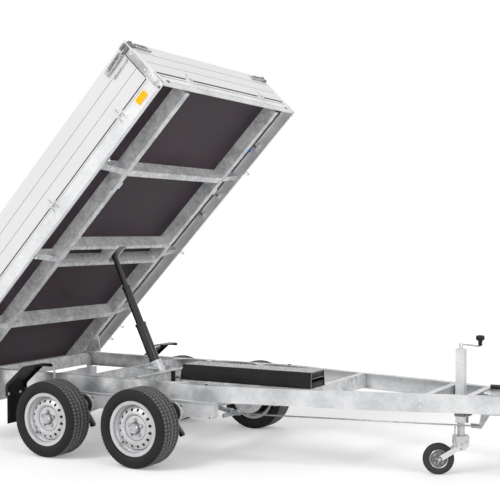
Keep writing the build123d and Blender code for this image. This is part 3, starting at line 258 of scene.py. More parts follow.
def makeMaterial(name, effect, tones, rates, roughness, metallic, bump, bumpSize, extra=None):
    material = bpy.data.materials.new(name)
    material.use_nodes = True
    tree = material.node_tree
    group = putNode(tree, "ShaderNodeGroup", node_tree=effects[effect])
    values = (putNode(tree, "ShaderNodeTexCoord").outputs["Object"], *tones, *rates, *roughness)
    setInputs(tree, group, dict(enumerate(values)))
    bumps = putNode(tree, "ShaderNodeBump", {"Strength": bump, "Distance": bumpSize, "Height": group.outputs["Height"]})
    setInputs(tree, tree.nodes["Principled BSDF"], {
        "Base Color": group.outputs["Color"], "Roughness": group.outputs["Roughness"], "Metallic": metallic,
        "Normal": bumps.outputs[0], **(extra or {})})
    return material


# a row: name, effect, its two tones, its own rates in their order, smoothest and roughest, metallic,
# strength of the bump and its height in metres, and what else the surface has
sheetZinc = ("zincSpangle", ((0.91, 0.915, 0.92), (0.52, 0.53, 0.545)),
             (70.0, 3.4, 0.20), (0.34, 0.50), 0.35, 0.06, 0.0004)
finishRows = {
    "galvanised": ("galvanisedSteel", "zincSpangle", ((0.95, 0.955, 0.96), (0.46, 0.47, 0.48)),
                   (42.0, 9.0, 0.42), (0.34, 0.55), 0.20, 0.10, 0.0006),
    "galvanisedSmooth": ("galvanisedSheet", *sheetZinc),
    "beamSheet": ("beamSheet", *sheetZinc),
    "frameSheet": ("frameSheet", "zincSpangle", ((0.96, 0.965, 0.97), (0.70, 0.71, 0.72)),
                   (60.0, 4.0, 0.30), (0.36, 0.50), 0.12, 0.06, 0.0004),
    "bright_zinc": ("brightZinc", "zincSpangle", ((0.76, 0.77, 0.78), (0.40, 0.41, 0.42)),
                    (240.0, 22.0, 0.35), (0.20, 0.40), 0.85, 0.06, 0.0003),
    "panel_aluminium": ("panelAluminium", "drawnStrokes", ((0.85, 0.85, 0.855), (0.79, 0.79, 0.80)),
                        (), (0.34, 0.46), 0.15, 0.04, 0.0004),
    "floor_ply": ("phenolicPly", "fineGrain", ((0.026, 0.016, 0.022), (0.060, 0.042, 0.052)),
                  (420.0, 2.8), (0.36, 0.55), 0.0, 0.12, 0.0006, {"Specular IOR Level": 0.22}),
    "black_enamel": ("blackEnamel", "fineGrain", ((0.005, 0.005, 0.006), (0.010, 0.010, 0.011)),
                     (300.0, 8.0), (0.07, 0.15), 0.0, 0.03, 0.0003, {"Specular IOR Level": 0.62}),
    "rim_silver": ("rimSilver", "fineGrain", ((0.72, 0.72, 0.73), (0.58, 0.58, 0.59)),
                   (900.0, 5.0), (0.34, 0.44), 0.50, 0.05, 0.0002),
    "tyre_rubber": ("tyreRubber", "fineGrain", ((0.009, 0.009, 0.010), (0.018, 0.018, 0.019)),
                    (700.0, 9.0), (0.55, 0.75), 0.0, 0.25, 0.0006, {"Specular IOR Level": 0.3}),
    "black_plastic": ("blackPlastic", "fineGrain", ((0.008, 0.008, 0.009), (0.016, 0.016, 0.017)),
                      (1100.0, 6.0), (0.34, 0.50), 0.0, 0.2, 0.0005, {"Specular IOR Level": 0.3}),
    "black_rubber": ("softRubber", "fineGrain", ((0.022, 0.022, 0.022), (0.035, 0.035, 0.035)),
                     (800.0, 12.0), (0.55, 0.72), 0.0, 0.2, 0.0005),
    "cast_zinc": ("castZinc", "fineGrain", ((0.56, 0.57, 0.58), (0.40, 0.41, 0.42)),
                  (380.0, 30.0), (0.32, 0.50), 0.7, 0.35, 0.0010),
    "drum_iron": ("drumIron", "fineGrain", ((0.028, 0.028, 0.029), (0.055, 0.053, 0.050)),
                  (300.0, 14.0), (0.45, 0.65), 0.2, 0.3, 0.0010),
    # painted glow: the amber lens is not lit, yet gets a faint amber emission
    "amber_lens": ("amberLens", "fineGrain", ((1.0, 0.52, 0.0), (0.96, 0.44, 0.0)),
                   (260.0, 60.0), (0.18, 0.28), 0.0, 0.3, 0.0012,
                   {"Specular IOR Level": 0.25, "Emission Color": (1.0, 0.50, 0.0), "Emission Strength": 0.18}),
    "red_lens": ("redLens", "fineGrain", ((0.50, 0.010, 0.012), (0.36, 0.008, 0.008)),
                 (260.0, 60.0), (0.12, 0.2), 0.0, 0.3, 0.0012, {"Coat Weight": 0.5, "Coat Roughness": 0.08}),
    "blueCap": ("blueCap", "fineGrain", ((0.02, 0.16, 0.62), (0.03, 0.22, 0.70)),
                (600.0, 40.0), (0.28, 0.4), 0.0, 0.1, 0.0003),
    "seamShade": ("seamShade", "fineGrain", ((0.20, 0.20, 0.205), (0.30, 0.30, 0.305)),
                  (500.0, 20.0), (0.5, 0.7), 0.3, 0.1, 0.0003),
}
finishes = {finish: makeMaterial(*row) for finish, row in finishRows.items()}


# lays a tone over a material's own color, as far as the mask says
def layTone(material, makeMask, tone):
    tree = material.node_tree
    color = tree.nodes["Principled BSDF"].inputs["Base Color"]
    plain = color.links[0].from_socket
    tree.links.new(mixColors(tree, makeMask(tree), plain, tone), color)


# the tyres' tread ribs are paler on their outer faces than in the grooves, cuts and flanks, as their own attribute says
def treadMask(tree):
    return putNode(tree, "ShaderNodeAttribute", attribute_name="treadTone").outputs["Fac"]


# painted shade and reflection of the wheels: dark clouds on the beams, from the wheels back
beamShadeBlots = {"fadeFrom": 0.62, "fadeTo": 1.05, "perMetre": 3.6, "low": 0.45, "high": 0.62, "strength": 0.80}


def beamShadeMask(tree):
    coords = putNode(tree, "ShaderNodeTexCoord").outputs["Object"]
    along = putNode(tree, "ShaderNodeSeparateXYZ", {0: coords}).outputs["X"]
    near = spreadNode(tree, along, beamShadeBlots["fadeTo"] + shift, beamShadeBlots["fadeFrom"] + shift)
    blots = spreadNode(tree, noiseNode(tree, coords, beamShadeBlots["perMetre"], 3.0, 0.5), beamShadeBlots["low"], beamShadeBlots["high"])
    return mathNode(tree, "MULTIPLY", mathNode(tree, "MULTIPLY", near, blots), beamShadeBlots["strength"])


layTone(finishes["tyre_rubber"], treadMask, (0.150, 0.150, 0.153))
# painted shade: the beams darken in clouds round and behind the wheels
layTone(finishes["beamSheet"], beamShadeMask, (0.16, 0.165, 0.17))

# the nodes whose finish isn't their slot's own
otherFinish = {
    "galvanisedSmooth": ("axle_carriers", "lamp_board", "cylinder_body", "jockey_tube"),
    "seamShade": ("jockey_rim", "jockey_clamp", "latch_keepers"), "cast_zinc": ("brake_linkage",),
    "frameSheet": ("jockey_fork", "bed_side_frames", "bed_end_rails", "corner_posts"),
    "beamSheet": ("side_beam_right", "side_beam_left")}
slotOf = {entry["node"]: entry["material_slot"] for entry in frame["record"]["subparts"]}
finishOf = {**slotOf, **{node: finish for finish, members in otherFinish.items() for node in members}}

for nodeName, nodeObject in nodes.items():
    for materialSlot in nodeObject.material_slots:
        materialSlot.material = finishes[finishOf[nodeName]]
print("materials on", len(nodes), "nodes")


# ways to add a piece; finish names a material other than the slot's own

sharpFrom = 32


def smoothMesh(mesh, angle=sharpFrom):
    mesh.shade_smooth()
    mesh.set_sharp_from_angle(angle=radians(angle))


def addPiece(name, mesh, body, slotName, finish=None):
    mesh.materials.clear()
    mesh.materials.append(finishes[finish or slotName])
    piece = linkObject(name, mesh)
    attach(piece, body)
    return piece


def joinPiece(name, meshes, body, slotName, finish=None, angle=sharpFrom):
    bm = bmesh.new()
    for mesh in meshes:
        bm.from_mesh(mesh)
    joined = bpy.data.meshes.new(name + "Joined")
    bm.to_mesh(joined)
    bm.free()
    smoothMesh(joined, angle)
    return addPiece(name, joined, body, slotName, finish)


def faceOutwards(mesh):
    bm = bmesh.new()
    bm.from_mesh(mesh)
    bmesh.ops.recalc_face_normals(bm, faces=bm.faces)
    bm.to_mesh(mesh)
    bm.free()
    return mesh


# every CAD piece but the tyres and the rebuilt ones gets a merged copy with smooth shading

mergeDistance = 0.00002
rebuilt = ("jockey_crank", "mudguard_stays")
bodyOf = {node: body for body, members in frame["record"]["behaviour"]["bodies"].items() for node in members}


def refine(node):
    bm = bmesh.new()
    bm.from_mesh(nodes[node].data)
    bmesh.ops.remove_doubles(bm, verts=bm.verts, dist=mergeDistance)
    bm.verts.index_update()
    verts = [vert.co.copy() for vert in bm.verts]
    faces = [[vert.index for vert in face.verts] for face in bm.faces]
    bm.free()
    mesh = bpy.data.meshes.new(node + "Fine")
    mesh.from_pydata(verts, [], faces)
    smoothMesh(mesh)
    piece = addPiece(node + "_fine", mesh, bodyOf[node], slotOf[node], finishOf[node])
    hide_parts(node)


for nodeName in list(nodes):
    if nodeName not in rebuilt and not nodeName.startswith("tyre_"):
        refine(nodeName)
print("merged and smoothed copies made")


# road tyres

tyre = {"radius": 0.2625, "seat": 0.1653, "lip": 0.1835, "halfWidth": 0.097, "beadHalf": 0.0756, "blocks": 66,
        "stepsPerBlock": 6, "grooveDepth": 0.0085, "grooveHalf": 0.0062, "grooves": (-0.054, -0.019, 0.019, 0.054),
        "zigzag": 0.0042, "cutDepth": 0.0048, "centreY": 0.790, "treadFrom": 0.0030,
        "ribMiddles": (-0.068, -0.0365, 0.0, 0.0365, 0.068),
        "ribSides": (-0.0615, -0.044, -0.029, -0.008, 0.008, 0.029, 0.044, 0.0615)}


# across the tyre: place, radius, how far the zigzag moves it, how deep the cross cuts go there
def tyreColumns():
    half, radius, seat, lip, bead = tyre["halfWidth"], tyre["radius"], tyre["seat"], tyre["lip"], tyre["beadHalf"]
    flank = [(bead - 0.0042, seat, 0, 0), (bead, lip, 0, 0), (half - 0.0055, lip + 0.008, 0, 0),
             (half - 0.001, lip + 0.018, 0, 0), (half, lip + 0.030, 0, 0), (half + 0.0004, lip + 0.031, 0, 0),
             (half + 0.0004, lip + 0.034, 0, 0), (half, lip + 0.035, 0, 0), (half - 0.0006, radius - 0.034, 0, 0),
             (half - 0.003, radius - 0.022, 0, 0), (half - 0.0068, radius - 0.012, 0, 0.5),
             (half - 0.012, radius - 0.0050, 0, 1), (half - 0.020, radius - 0.0012, 0, 1)]
    g, depth = tyre["grooveHalf"], tyre["grooveDepth"]
    tread = [(centre + offset, radius - drop, 1, 0) for centre in tyre["grooves"]
             for offset, drop in ((-g, 0), (-g * 0.72, depth), (g * 0.72, depth), (g, 0))]
    tread += [(y, radius, 0.6, 0.6 if abs(y) < 0.06 else 1.0) for y in tyre["ribMiddles"]]
    tread += [(y, radius, 1, 0.0 if abs(y) < 0.01 else 0.5) for y in tyre["ribSides"]]
    return [(-y, *rest) for y, *rest in flank] + sorted(tread) + flank[::-1]


def tyreMesh(x, side):
    columns, perBlock, radius = tyreColumns(), tyre["stepsPerBlock"], tyre["radius"]
    steps, count = tyre["blocks"] * perBlock, len(columns)
    verts, faces, tones = [], [], []
    for step in range(steps):
        wave = 4 * abs(step % perBlock / perBlock - 0.5) - 1
        cutDepth = tyre["cutDepth"] if step % perBlock == 0 else 0
        angle = 2 * pi * step / steps
        for y, r, zigzag, cuts in columns:
            reach = r - cutDepth * cuts
            across = y + tyre["zigzag"] * wave * zigzag
            verts.append((x + shift + reach * cos(angle), side * (tyre["centreY"] + across),
                          radius + reach * sin(angle)))
            tones.append(1.0 if r > radius - tyre["treadFrom"] and reach == r else 0.0)
        after = (step + 1) % steps
        for column in range(count):
            beside = (column + 1) % count
            faces.append((step * count + column, after * count + column, after * count + beside, step * count + beside))
    mesh = bpy.data.meshes.new("tyreTreaded")
    mesh.from_pydata(verts, [], faces)
    faceOutwards(mesh)
    mesh.attributes.new("treadTone", "FLOAT", "POINT").data.foreach_set("value", tones)
    smoothMesh(mesh, 28)
    return mesh


for place, (x, side) in wheelPlaces.items():
    piece = addPiece("tyre_" + place + "_treaded", tyreMesh(x, side), "wheel_" + place, "tyre_rubber")
    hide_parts("tyre_" + place)
print("tyres made")


# shared makers for the small pieces

def latheMesh(profile, steps, matrix):
    verts, faces, rings = [], [], []
    for radius, height in profile:
        turns = [2 * pi * step / steps for step in range(steps)] if radius > 1e-6 else [0]
        rings.append(list(range(len(verts), len(verts) + len(turns))))
        verts += [matrix @ Vector((radius * cos(angle), radius * sin(angle), height)) for angle in turns]
    for low, high in zip(rings, rings[1:] + rings[:1]):
        if len(low) == 1 and len(high) == 1:
            continue
        for step in range(steps):
            after = (step + 1) % steps
            if len(low) == 1:
                faces.append((low[0], high[after], high[step]))
            elif len(high) == 1:
                faces.append((low[step], low[after], high[0]))
            else:
                faces.append((low[step], low[after], high[after], high[step]))
    mesh = bpy.data.meshes.new("turned")
    mesh.from_pydata(verts, [], faces)
    return faceOutwards(mesh)


# flat plate with softened edges, its outline in local X and Y, its thickness along Z
def plateMesh(outline, low, high, matrix, soften=0.0012):
    bm = bmesh.new()
    bottom = [bm.verts.new((x, y, low)) for x, y in outline]
    top = [bm.verts.new((x, y, high)) for x, y in outline]
    bm.faces.new(bottom)
    bm.faces.new(top)
    for index in range(len(outline)):
        after = (index + 1) % len(outline)
        bm.faces.new((bottom[index], bottom[after], top[after], top[index]))
    bmesh.ops.recalc_face_normals(bm, faces=bm.faces)
    if soften:
        bmesh.ops.bevel(bm, geom=bm.edges, offset=soften, segments=2, affect="EDGES", profile=0.6)
    bm.transform(matrix)
    bmesh.ops.recalc_face_normals(bm, faces=bm.faces)
    mesh = bpy.data.meshes.new("plate")
    bm.to_mesh(mesh)
    bm.free()
    return mesh


# block between two values on each axis, in either order
def blockMesh(xs, ys, zs, matrix, soften=0.0012):
    (x0, x1), (y0, y1), (z0, z1) = sorted(xs), sorted(ys), sorted(zs)
    return plateMesh([(x0, y0), (x1, y0), (x1, y1), (x0, y1)], z0, z1, matrix, soften)


# matrix that stands local Z along the facing at a point
def standOn(point, facing):
    return Matrix.Translation(point) @ Vector(facing).to_track_quat("Z", "Y").to_matrix().to_4x4()


def spotIn(place, point, facing):
    return place @ Vector(point), place.to_3x3() @ Vector(facing)


def pathIn(place, points):
    return [place @ Vector(point) for point in points]


def mirrored(spots):
    return spots + [(Vector((p.x, -p.y, p.z)), Vector((f.x, -f.y, f.z))) for p, f in spots]


# along a coil: share of its length, with the cosine and sine of its turn there
def coilSteps(turns, perTurn=8):
    count = turns * perTurn
    return [(step / count, cos(2 * pi * step / perTurn), sin(2 * pi * step / perTurn)) for step in range(count + 1)]


# Geometry Nodes trees: each sets one small form on every point, or sweeps a wire along every curve

def newTree(name, inputs):
    tree = bpy.data.node_groups.new(name, "GeometryNodeTree")
    tree.is_modifier = True
    tree.interface.new_socket("Geometry", in_out="INPUT", socket_type="NodeSocketGeometry")
    for label, value in inputs.items():
        kind = "NodeSocketInt" if isinstance(value, int) else "NodeSocketFloat"
        tree.interface.new_socket(label, in_out="INPUT", socket_type=kind).default_value = value
    tree.interface.new_socket("Finish", in_out="INPUT", socket_type="NodeSocketMaterial")
    tree.interface.new_socket("Geometry", in_out="OUTPUT", socket_type="NodeSocketGeometry")
    return tree, tree.nodes.new("NodeGroupInput").outputs


def endTree(tree, source, geometry):
    real = putNode(tree, "GeometryNodeRealizeInstances", {"Geometry": geometry})
    paint = putNode(tree, "GeometryNodeSetMaterial", {"Geometry": real.outputs[0], "Material": source["Finish"]})
    putNode(tree, "NodeGroupOutput", {"Geometry": paint.outputs[0]})
    return tree


def instanceOnSpots(tree, source, form):
    facing = putNode(tree, "GeometryNodeInputNamedAttribute", {"Name": "facing"}, data_type="FLOAT_VECTOR")
    align = putNode(tree, "FunctionNodeAlignRotationToVector", {"Vector": facing.outputs["Attribute"]}, axis="Z")
    return putNode(tree, "GeometryNodeInstanceOnPoints", {
        "Points": source["Geometry"], "Instance": form, "Rotation": align.outputs["Rotation"]}).outputs["Instances"]


# moves or scales a form by a vector whose parts are given
def transformed(tree, geometry, label, parts):
    vector = putNode(tree, "ShaderNodeCombineXYZ", parts).outputs[0]
    return putNode(tree, "GeometryNodeTransform", {"Geometry": geometry, label: vector}).outputs["Geometry"]


def coneForm(tree, sides, lowRadius, highRadius, depth):
    return putNode(tree, "GeometryNodeMeshCone", {
        "Vertices": sides, "Radius Bottom": lowRadius, "Radius Top": highRadius, "Depth": depth}).outputs["Mesh"]


boltShape = {"washerSides": 20, "washerTop": 0.94, "shank": 0.8, "chamfer": 0.2, "crown": 0.84}


def boltTree():
    tree, source = newTree("boltHeads", {"Head Radius": 0.008, "Head Height": 0.006, "Washer Radius": 0.010,
                                         "Washer Height": 0.0016, "Head Sides": 6})
    radius, height, sides = source["Head Radius"], source["Head Height"], source["Head Sides"]
    washerRadius, washerHeight = source["Washer Radius"], source["Washer Height"]
    washerTop = mathNode(tree, "MULTIPLY", washerRadius, boltShape["washerTop"])
    shank = mathNode(tree, "MULTIPLY", height, boltShape["shank"])
    chamfer = mathNode(tree, "MULTIPLY", height, boltShape["chamfer"])
    crown = mathNode(tree, "MULTIPLY", radius, boltShape["crown"])
    washer = coneForm(tree, boltShape["washerSides"], washerRadius, washerTop, washerHeight)
    body = coneForm(tree, sides, radius, radius, shank)
    top = coneForm(tree, sides, radius, crown, chamfer)
    join = tree.nodes.new("GeometryNodeJoinGeometry")
    tree.links.new(washer, join.inputs[0])
    tree.links.new(transformed(tree, body, "Translation", {"Z": washerHeight}), join.inputs[0])
    topHeight = mathNode(tree, "ADD", washerHeight, shank)
    tree.links.new(transformed(tree, top, "Translation", {"Z": topHeight}), join.inputs[0])
    return endTree(tree, source, instanceOnSpots(tree, source, join.outputs[0]))


def rivetTree():
    tree, source = newTree("domeRivets", {"Radius": 0.006, "Rise": 0.5})
    ball = putNode(tree, "GeometryNodeMeshUVSphere", {"Segments": 12, "Rings": 8, "Radius": source["Radius"]})
    flat = transformed(tree, ball.outputs["Mesh"], "Scale", {"X": 1, "Y": 1, "Z": source["Rise"]})
    return endTree(tree, source, instanceOnSpots(tree, source, flat))


def wireTree():
    tree, source = newTree("wireSweep", {"Wire Radius": 0.003, "Sides": 10})
    circle = putNode(tree, "GeometryNodeCurvePrimitiveCircle", {
        "Radius": source["Wire Radius"], "Resolution": source["Sides"]})
    sweep = putNode(tree, "GeometryNodeCurveToMesh", {
        "Curve": source["Geometry"], "Profile Curve": circle.outputs["Curve"], "Fill Caps": True})
    return endTree(tree, source, sweep.outputs["Mesh"])


trees = {"bolts": boltTree(), "rivets": rivetTree(), "wires": wireTree()}


# sizes are the tree's own inputs in their order; those left out keep the tree's value
def runTree(name, data, treeName, sizes, body, slotName, finish=None):
    source = linkObject(name + "Source", data)
    modifier = source.modifiers.new("pattern", "NODES")
    modifier.node_group = trees[treeName]
    sockets = [item.identifier for item in trees[treeName].interface.items_tree
               if item.item_type == "SOCKET" and item.in_out == "INPUT"]
    for identifier, value in zip(sockets[1:-1], sizes):
        modifier[identifier] = value
    modifier[sockets[-1]] = finishes[finish or slotName]
    depsgraph = bpy.context.evaluated_depsgraph_get()
    mesh = bpy.data.meshes.new_from_object(source.evaluated_get(depsgraph), depsgraph=depsgraph)
    bpy.data.objects.remove(source)
    if treeName == "wires":
        faceOutwards(mesh)
    smoothMesh(mesh, 40)
    return addPiece(name, mesh, body, slotName, finish)


# bolts: head radius, head height, washer radius, washer height, sides of the head; rivets: radius, rise as its share
def scatter(name, treeName, spots, sizes, body, slotName="bright_zinc", finish=None):
    mesh = bpy.data.meshes.new(name + "Spots")
    mesh.from_pydata([point for point, facing in spots], [], [])
    attribute = mesh.attributes.new("facing", "FLOAT_VECTOR", "POINT")
    for index, (point, facing) in enumerate(spots):
        attribute.data[index].vector = facing
    return runTree(name, mesh, treeName, sizes, body, slotName, finish)


def sweepWires(name, paths, radius, body, slotName="bright_zinc", finish=None, sides=10):
    curve = bpy.data.curves.new(name + "Paths", "CURVE")
    curve.dimensions = "3D"
    for path in paths:
        spline = curve.splines.new("NURBS")
        spline.points.add(len(path) - 1)
        for index, point in enumerate(path):
            spline.points[index].co = (*point, 1)
        spline.order_u = 3
        spline.use_endpoint_u = True
        spline.resolution_u = 4
    return runTree(name, curve, "wires", (radius, sides), body, slotName, finish)


print("makers ready")


# wheels: bright hub cap, painted shadow rings, a dark ring of painted shade behind the rim's holes, five wheel bolts on
# painted shadow discs and a valve; profiles are radius and reach

wheelFittings = {
    "steps": 48, "discFace": 0.046, "boltCount": 5, "boltCircle": 0.052, "boltTurn": 18,
    # seat is the painted shadow disc under each bolt: its radius and rise
    "bolt": (0.0095, 0.013, 0.0125, 0.003), "seat": (0.0150, 0.05), "valveAngle": 223.5, "valveRadius": 0.0038,
    "cap": [(0.0334, 0.0464), (0.0334, 0.0660), (0.0318, 0.0705), (0.0285, 0.0745), (0.0255, 0.0752),
            (0.0235, 0.0742), (0.0180, 0.0742), (0.0165, 0.0760), (0.0, 0.0762), (0.0, 0.0464)],
    "shadowRings": [[(0.0345, 0.0458), (0.0345, 0.0466), (0.0425, 0.0466), (0.0425, 0.0458)],
                    [(0.0815, 0.0432), (0.0815, 0.0446), (0.0872, 0.0448), (0.0872, 0.0432)]],
    "holeShadeRing": [(0.1070, 0.0440), (0.1070, 0.0455), (0.1372, 0.0305), (0.1372, 0.0290)],
    "valvePath": [(0.1500, 0.030), (0.1498, 0.038), (0.1480, 0.046), (0.1465, 0.052)]}


def onWheel(centre, side, radius, degreesRound, reach):
    angle = radians(degreesRound)
    return centre + Vector((radius * cos(angle), side * reach, radius * sin(angle)))


for place, (x, side) in wheelPlaces.items():
    body, steps = "wheel_" + place, wheelFittings["steps"]
    centre, out = Vector((x + shift, side * tyre["centreY"], tyre["radius"])), Vector((0, side, 0))
    stand = standOn(centre, out)
    joinPiece("hub_cap_" + place, [latheMesh(wheelFittings["cap"], steps, stand)], body, "bright_zinc", angle=25)
    joinPiece("rim_shadow_rings_" + place, [latheMesh(ring, steps, stand) for ring in wheelFittings["shadowRings"]],
              body, "drum_iron", "seamShade")
    # painted shade: a dark ring behind the rim's holes, so that they read black
    joinPiece("rim_hole_shade_" + place, [latheMesh(wheelFittings["holeShadeRing"], steps, stand)], body, "drum_iron")
    turns = [wheelFittings["boltTurn"] + 360 / wheelFittings["boltCount"] * index
             for index in range(wheelFittings["boltCount"])]
    spots = [(onWheel(centre, side, wheelFittings["boltCircle"], turn, wheelFittings["discFace"]), out)
             for turn in turns]
    scatter("wheel_bolts_" + place, "bolts", spots, wheelFittings["bolt"], body)
    # painted shadow: dark discs under the wheel bolts
    scatter("bolt_shadow_discs_" + place, "rivets", spots, wheelFittings["seat"], body, "drum_iron", "seamShade")
    path = [onWheel(centre, side, radius, wheelFittings["valveAngle"], reach)
            for radius, reach in wheelFittings["valvePath"]]
    sweepWires("valve_" + place, [path], wheelFittings["valveRadius"], body, "black_rubber")
print("wheel fittings made")


# suspension: rubber ring round each pivot boss, bolts, and flat black discs of painted shade for the drain holes on the
# carriers

suspension = {
    "pivots": (0.51, -0.23), "pivotZ": 0.3425, "bossFace": 0.6225, "steps": 48, "carrierFace": 0.612,
    "ring": [(0.044, 0.0), (0.072, 0.0), (0.0715, 0.005), (0.066, 0.0085), (0.052, 0.0085), (0.044, 0.006)],
    "boltZ": 0.398, "boltX": (0.552, 0.582, -0.188, -0.158, 0.335, 0.150), "bolt": (0.008, 0.006, 0.0105),
    "holes": [(0.804, 0.330), (0.120, 0.338)], "hole": (0.006, 0.12)}
rings = [latheMesh(suspension["ring"], suspension["steps"], standOn(
             chassisFrame @ Vector((x, side * suspension["bossFace"], suspension["pivotZ"])), (0, side, 0)))
         for x in suspension["pivots"] for side in bothSides]
joinPiece("pivot_rubbers", rings, "chassis", "black_rubber")
face = -suspension["carrierFace"]
spots = [spotIn(chassisFrame, (x, face, suspension["boltZ"]), right) for x in suspension["boltX"]]
scatter("carrier_bolts", "bolts", mirrored(spots), suspension["bolt"], "chassis")
spots = [spotIn(chassisFrame, (x, face, z), right) for x, z in suspension["holes"]]
# painted shade: black discs stand in for the dark insides of the drain holes
scatter("carrier_hole_shades", "rivets", mirrored(spots), suspension["hole"], "chassis", "black_rubber")
print("suspension fittings made")


# chassis: coach bolts on the drawbar, corner gussets, cylinder bearing caps, small fittings on the cross channel

drawbar = {"angle": 16.0, "start": (1.950, 0.4252), "boltX": (2.165, 2.335), "boltZ": (0.511, 0.472),
           "bolt": (0.0062, 0.85)}
slope = radians(drawbar["angle"])
startX, startY = drawbar["start"]
spots = [spotIn(chassisFrame, (x, (x - startX) * sin(slope) / cos(slope) - startY, z), (sin(slope), -cos(slope), 0))
         for x in drawbar["boltX"] for z in drawbar["boltZ"]]
scatter("drawbar_bolts", "rivets", mirrored(spots), drawbar["bolt"], "chassis", finish="frameSheet")

# a gusset's row: its back, its corner and its tip along the beam
gusset = {"rows": [(-0.250, -0.225, -0.145), (0.090, 0.112, 0.020), (0.135, 0.112, 0.205), (0.520, 0.545, 0.450)],
          "beam": 0.565, "depth": 0.075, "low": 0.5362, "high": 0.5400}
outer, inner = gusset["beam"], gusset["beam"] - gusset["depth"]
plates = [plateMesh([(start, side * outer), (tip, side * outer), (corner, side * inner), (start, side * inner)],
                    gusset["low"], gusset["high"], chassisFrame, 0.0008)
          for start, corner, tip in gusset["rows"] for side in bothSides]
joinPiece("corner_gussets", plates, "chassis", "galvanised", "galvanisedSmooth")

bearing = {"x": -0.032, "y": 0.090, "halfX": 0.062, "halfY": 0.018, "low": 0.5362, "high": 0.549, "boltX": 0.045,
           "bolt": (0.010, 0.009, 0.013)}
caps, spots = [], []
for side in bothSides:
    y = side * bearing["y"]
    caps.append(blockMesh((bearing["x"] - bearing["halfX"], bearing["x"] + bearing["halfX"]),
                          (y - bearing["halfY"], y + bearing["halfY"]), (bearing["low"], bearing["high"]),
                          chassisFrame, 0.002))
    spots += [spotIn(chassisFrame, (bearing["x"] + offset, y, bearing["high"]), up)
              for offset in (-bearing["boltX"], bearing["boltX"])]
joinPiece("bearing_caps", caps, "chassis", "bright_zinc")
scatter("bearing_bolts", "bolts", spots, bearing["bolt"], "chassis")

crossFittings = {
    "clip": ((0.094, 0.116), (-0.013, 0.013), (0.440, 0.5315)), "elbowRadius": 0.0095, "elbowSides": 14,
    "elbow": [(0.095, 0.035, 0.474), (0.125, 0.035, 0.474), (0.150, 0.035, 0.474), (0.152, 0.035, 0.462),
              (0.152, 0.035, 0.446)],
    "nut": (0.0145, 0.012, 0.012), "nutRise": 0.006, "grommetX": 0.765, "grommetY": 0.590, "grommetZ": 0.540,
    "grommet": (0.012, 0.6)}
joinPiece("cross_clip", [blockMesh(*crossFittings["clip"], chassisFrame, 0.003)], "chassis", "black_plastic")
elbow = pathIn(chassisFrame, crossFittings["elbow"])
sweepWires("port_elbow", [elbow], crossFittings["elbowRadius"], "chassis", sides=crossFittings["elbowSides"])
spots = [(elbow[0], Vector(ahead)), (elbow[1], Vector(ahead)),
         (elbow[4] + Vector((0, 0, crossFittings["nutRise"])), Vector(down))]
scatter("port_nuts", "bolts", spots, crossFittings["nut"], "chassis")
spots = [spotIn(chassisFrame, (crossFittings["grommetX"], crossFittings["grommetY"], crossFittings["grommetZ"]), up)]
scatter("beam_grommets", "rivets", mirrored(spots), crossFittings["grommet"], "chassis", "black_rubber")
print("chassis fittings made")


# brake linkage: nuts on the pull rod, a casting with its bolts at the balance bar

linkage = {"bar": (0.660, -0.072, 0.2655), "rodEnd": (2.441, -0.072, 0.330), "castingY": -0.040, "castingHalf": 0.006,
           "casting": [(0.520, 0.300), (0.600, 0.296), (0.676, 0.284), (0.690, 0.262), (0.672, 0.246), (0.640, 0.248),
                       (0.560, 0.268), (0.516, 0.276)],
           "bolts": [(0.545, 0.284), (0.600, 0.277), (0.655, 0.266)], "reaches": (0.030, 0.052, 0.110),
           "nut": (0.0105, 0.010, 0.013)}
rodStart = Vector(linkage["bar"])
along = (Vector(linkage["rodEnd"]) - rodStart).normalized()
half = linkage["castingHalf"]
sidePlane = chassisFrame @ Matrix(((1, 0, 0, 0), (0, 0, -1, linkage["castingY"]), (0, 1, 0, 0), (0, 0, 0, 1)))
joinPiece("balance_casting", [plateMesh(linkage["casting"], -half, half, sidePlane, 0.002)], "chassis", "cast_zinc")
spots = [spotIn(chassisFrame, (x, linkage["castingY"] - half, z), right) for x, z in linkage["bolts"]]
spots += [(chassisFrame @ (rodStart + along * reach), along) for reach in linkage["reaches"]]
scatter("linkage_nuts", "bolts", spots, linkage["nut"], "chassis")
print("brake linkage fittings made")


# mudguards: round stay rods from the beams, flap rivets

stays = {"radius": 0.0075, "highX": -0.496, "lowX": -0.704, "guardY": 0.694, "underGuard": 0.6115,
         "rivetX": ((-0.705, ahead), (-0.714, back)), "rivetY": (0.744, 0.863), "rivetZ": 0.415,
         "rivet": (0.0105, 0.40)}
beamY = max(abs(corner[1]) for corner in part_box("side_beam_right"))
guardY, guardZ = stays["guardY"], stays["underGuard"]
highPath = [(beamY + 0.004, 0.475), (beamY + 0.006, 0.560), (beamY + 0.008, guardZ), (beamY + 0.030, guardZ),
            (guardY, guardZ)]
lowPath = [(beamY + 0.003, 0.440), (beamY + 0.030, 0.434), (guardY, 0.430)]
rods = [pathIn(chassisFrame, [(x, side * y, z) for y, z in path]) for side in bothSides
        for x, path in ((stays["highX"], highPath), (stays["lowX"], lowPath))]
stayRods = sweepWires("mudguard_stay_rods", rods, stays["radius"], "chassis", "galvanised")
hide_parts("mudguard_stays")
spots = [spotIn(chassisFrame, (x, -y, stays["rivetZ"]), facing)
         for x, facing in stays["rivetX"] for y in stays["rivetY"]]
scatter("guard_rivets", "rivets", mirrored(spots), stays["rivet"], "chassis", finish="frameSheet")


# ramps: a pale worn top with rows of grip teeth, dark end caps, bright cut edges and side ribs

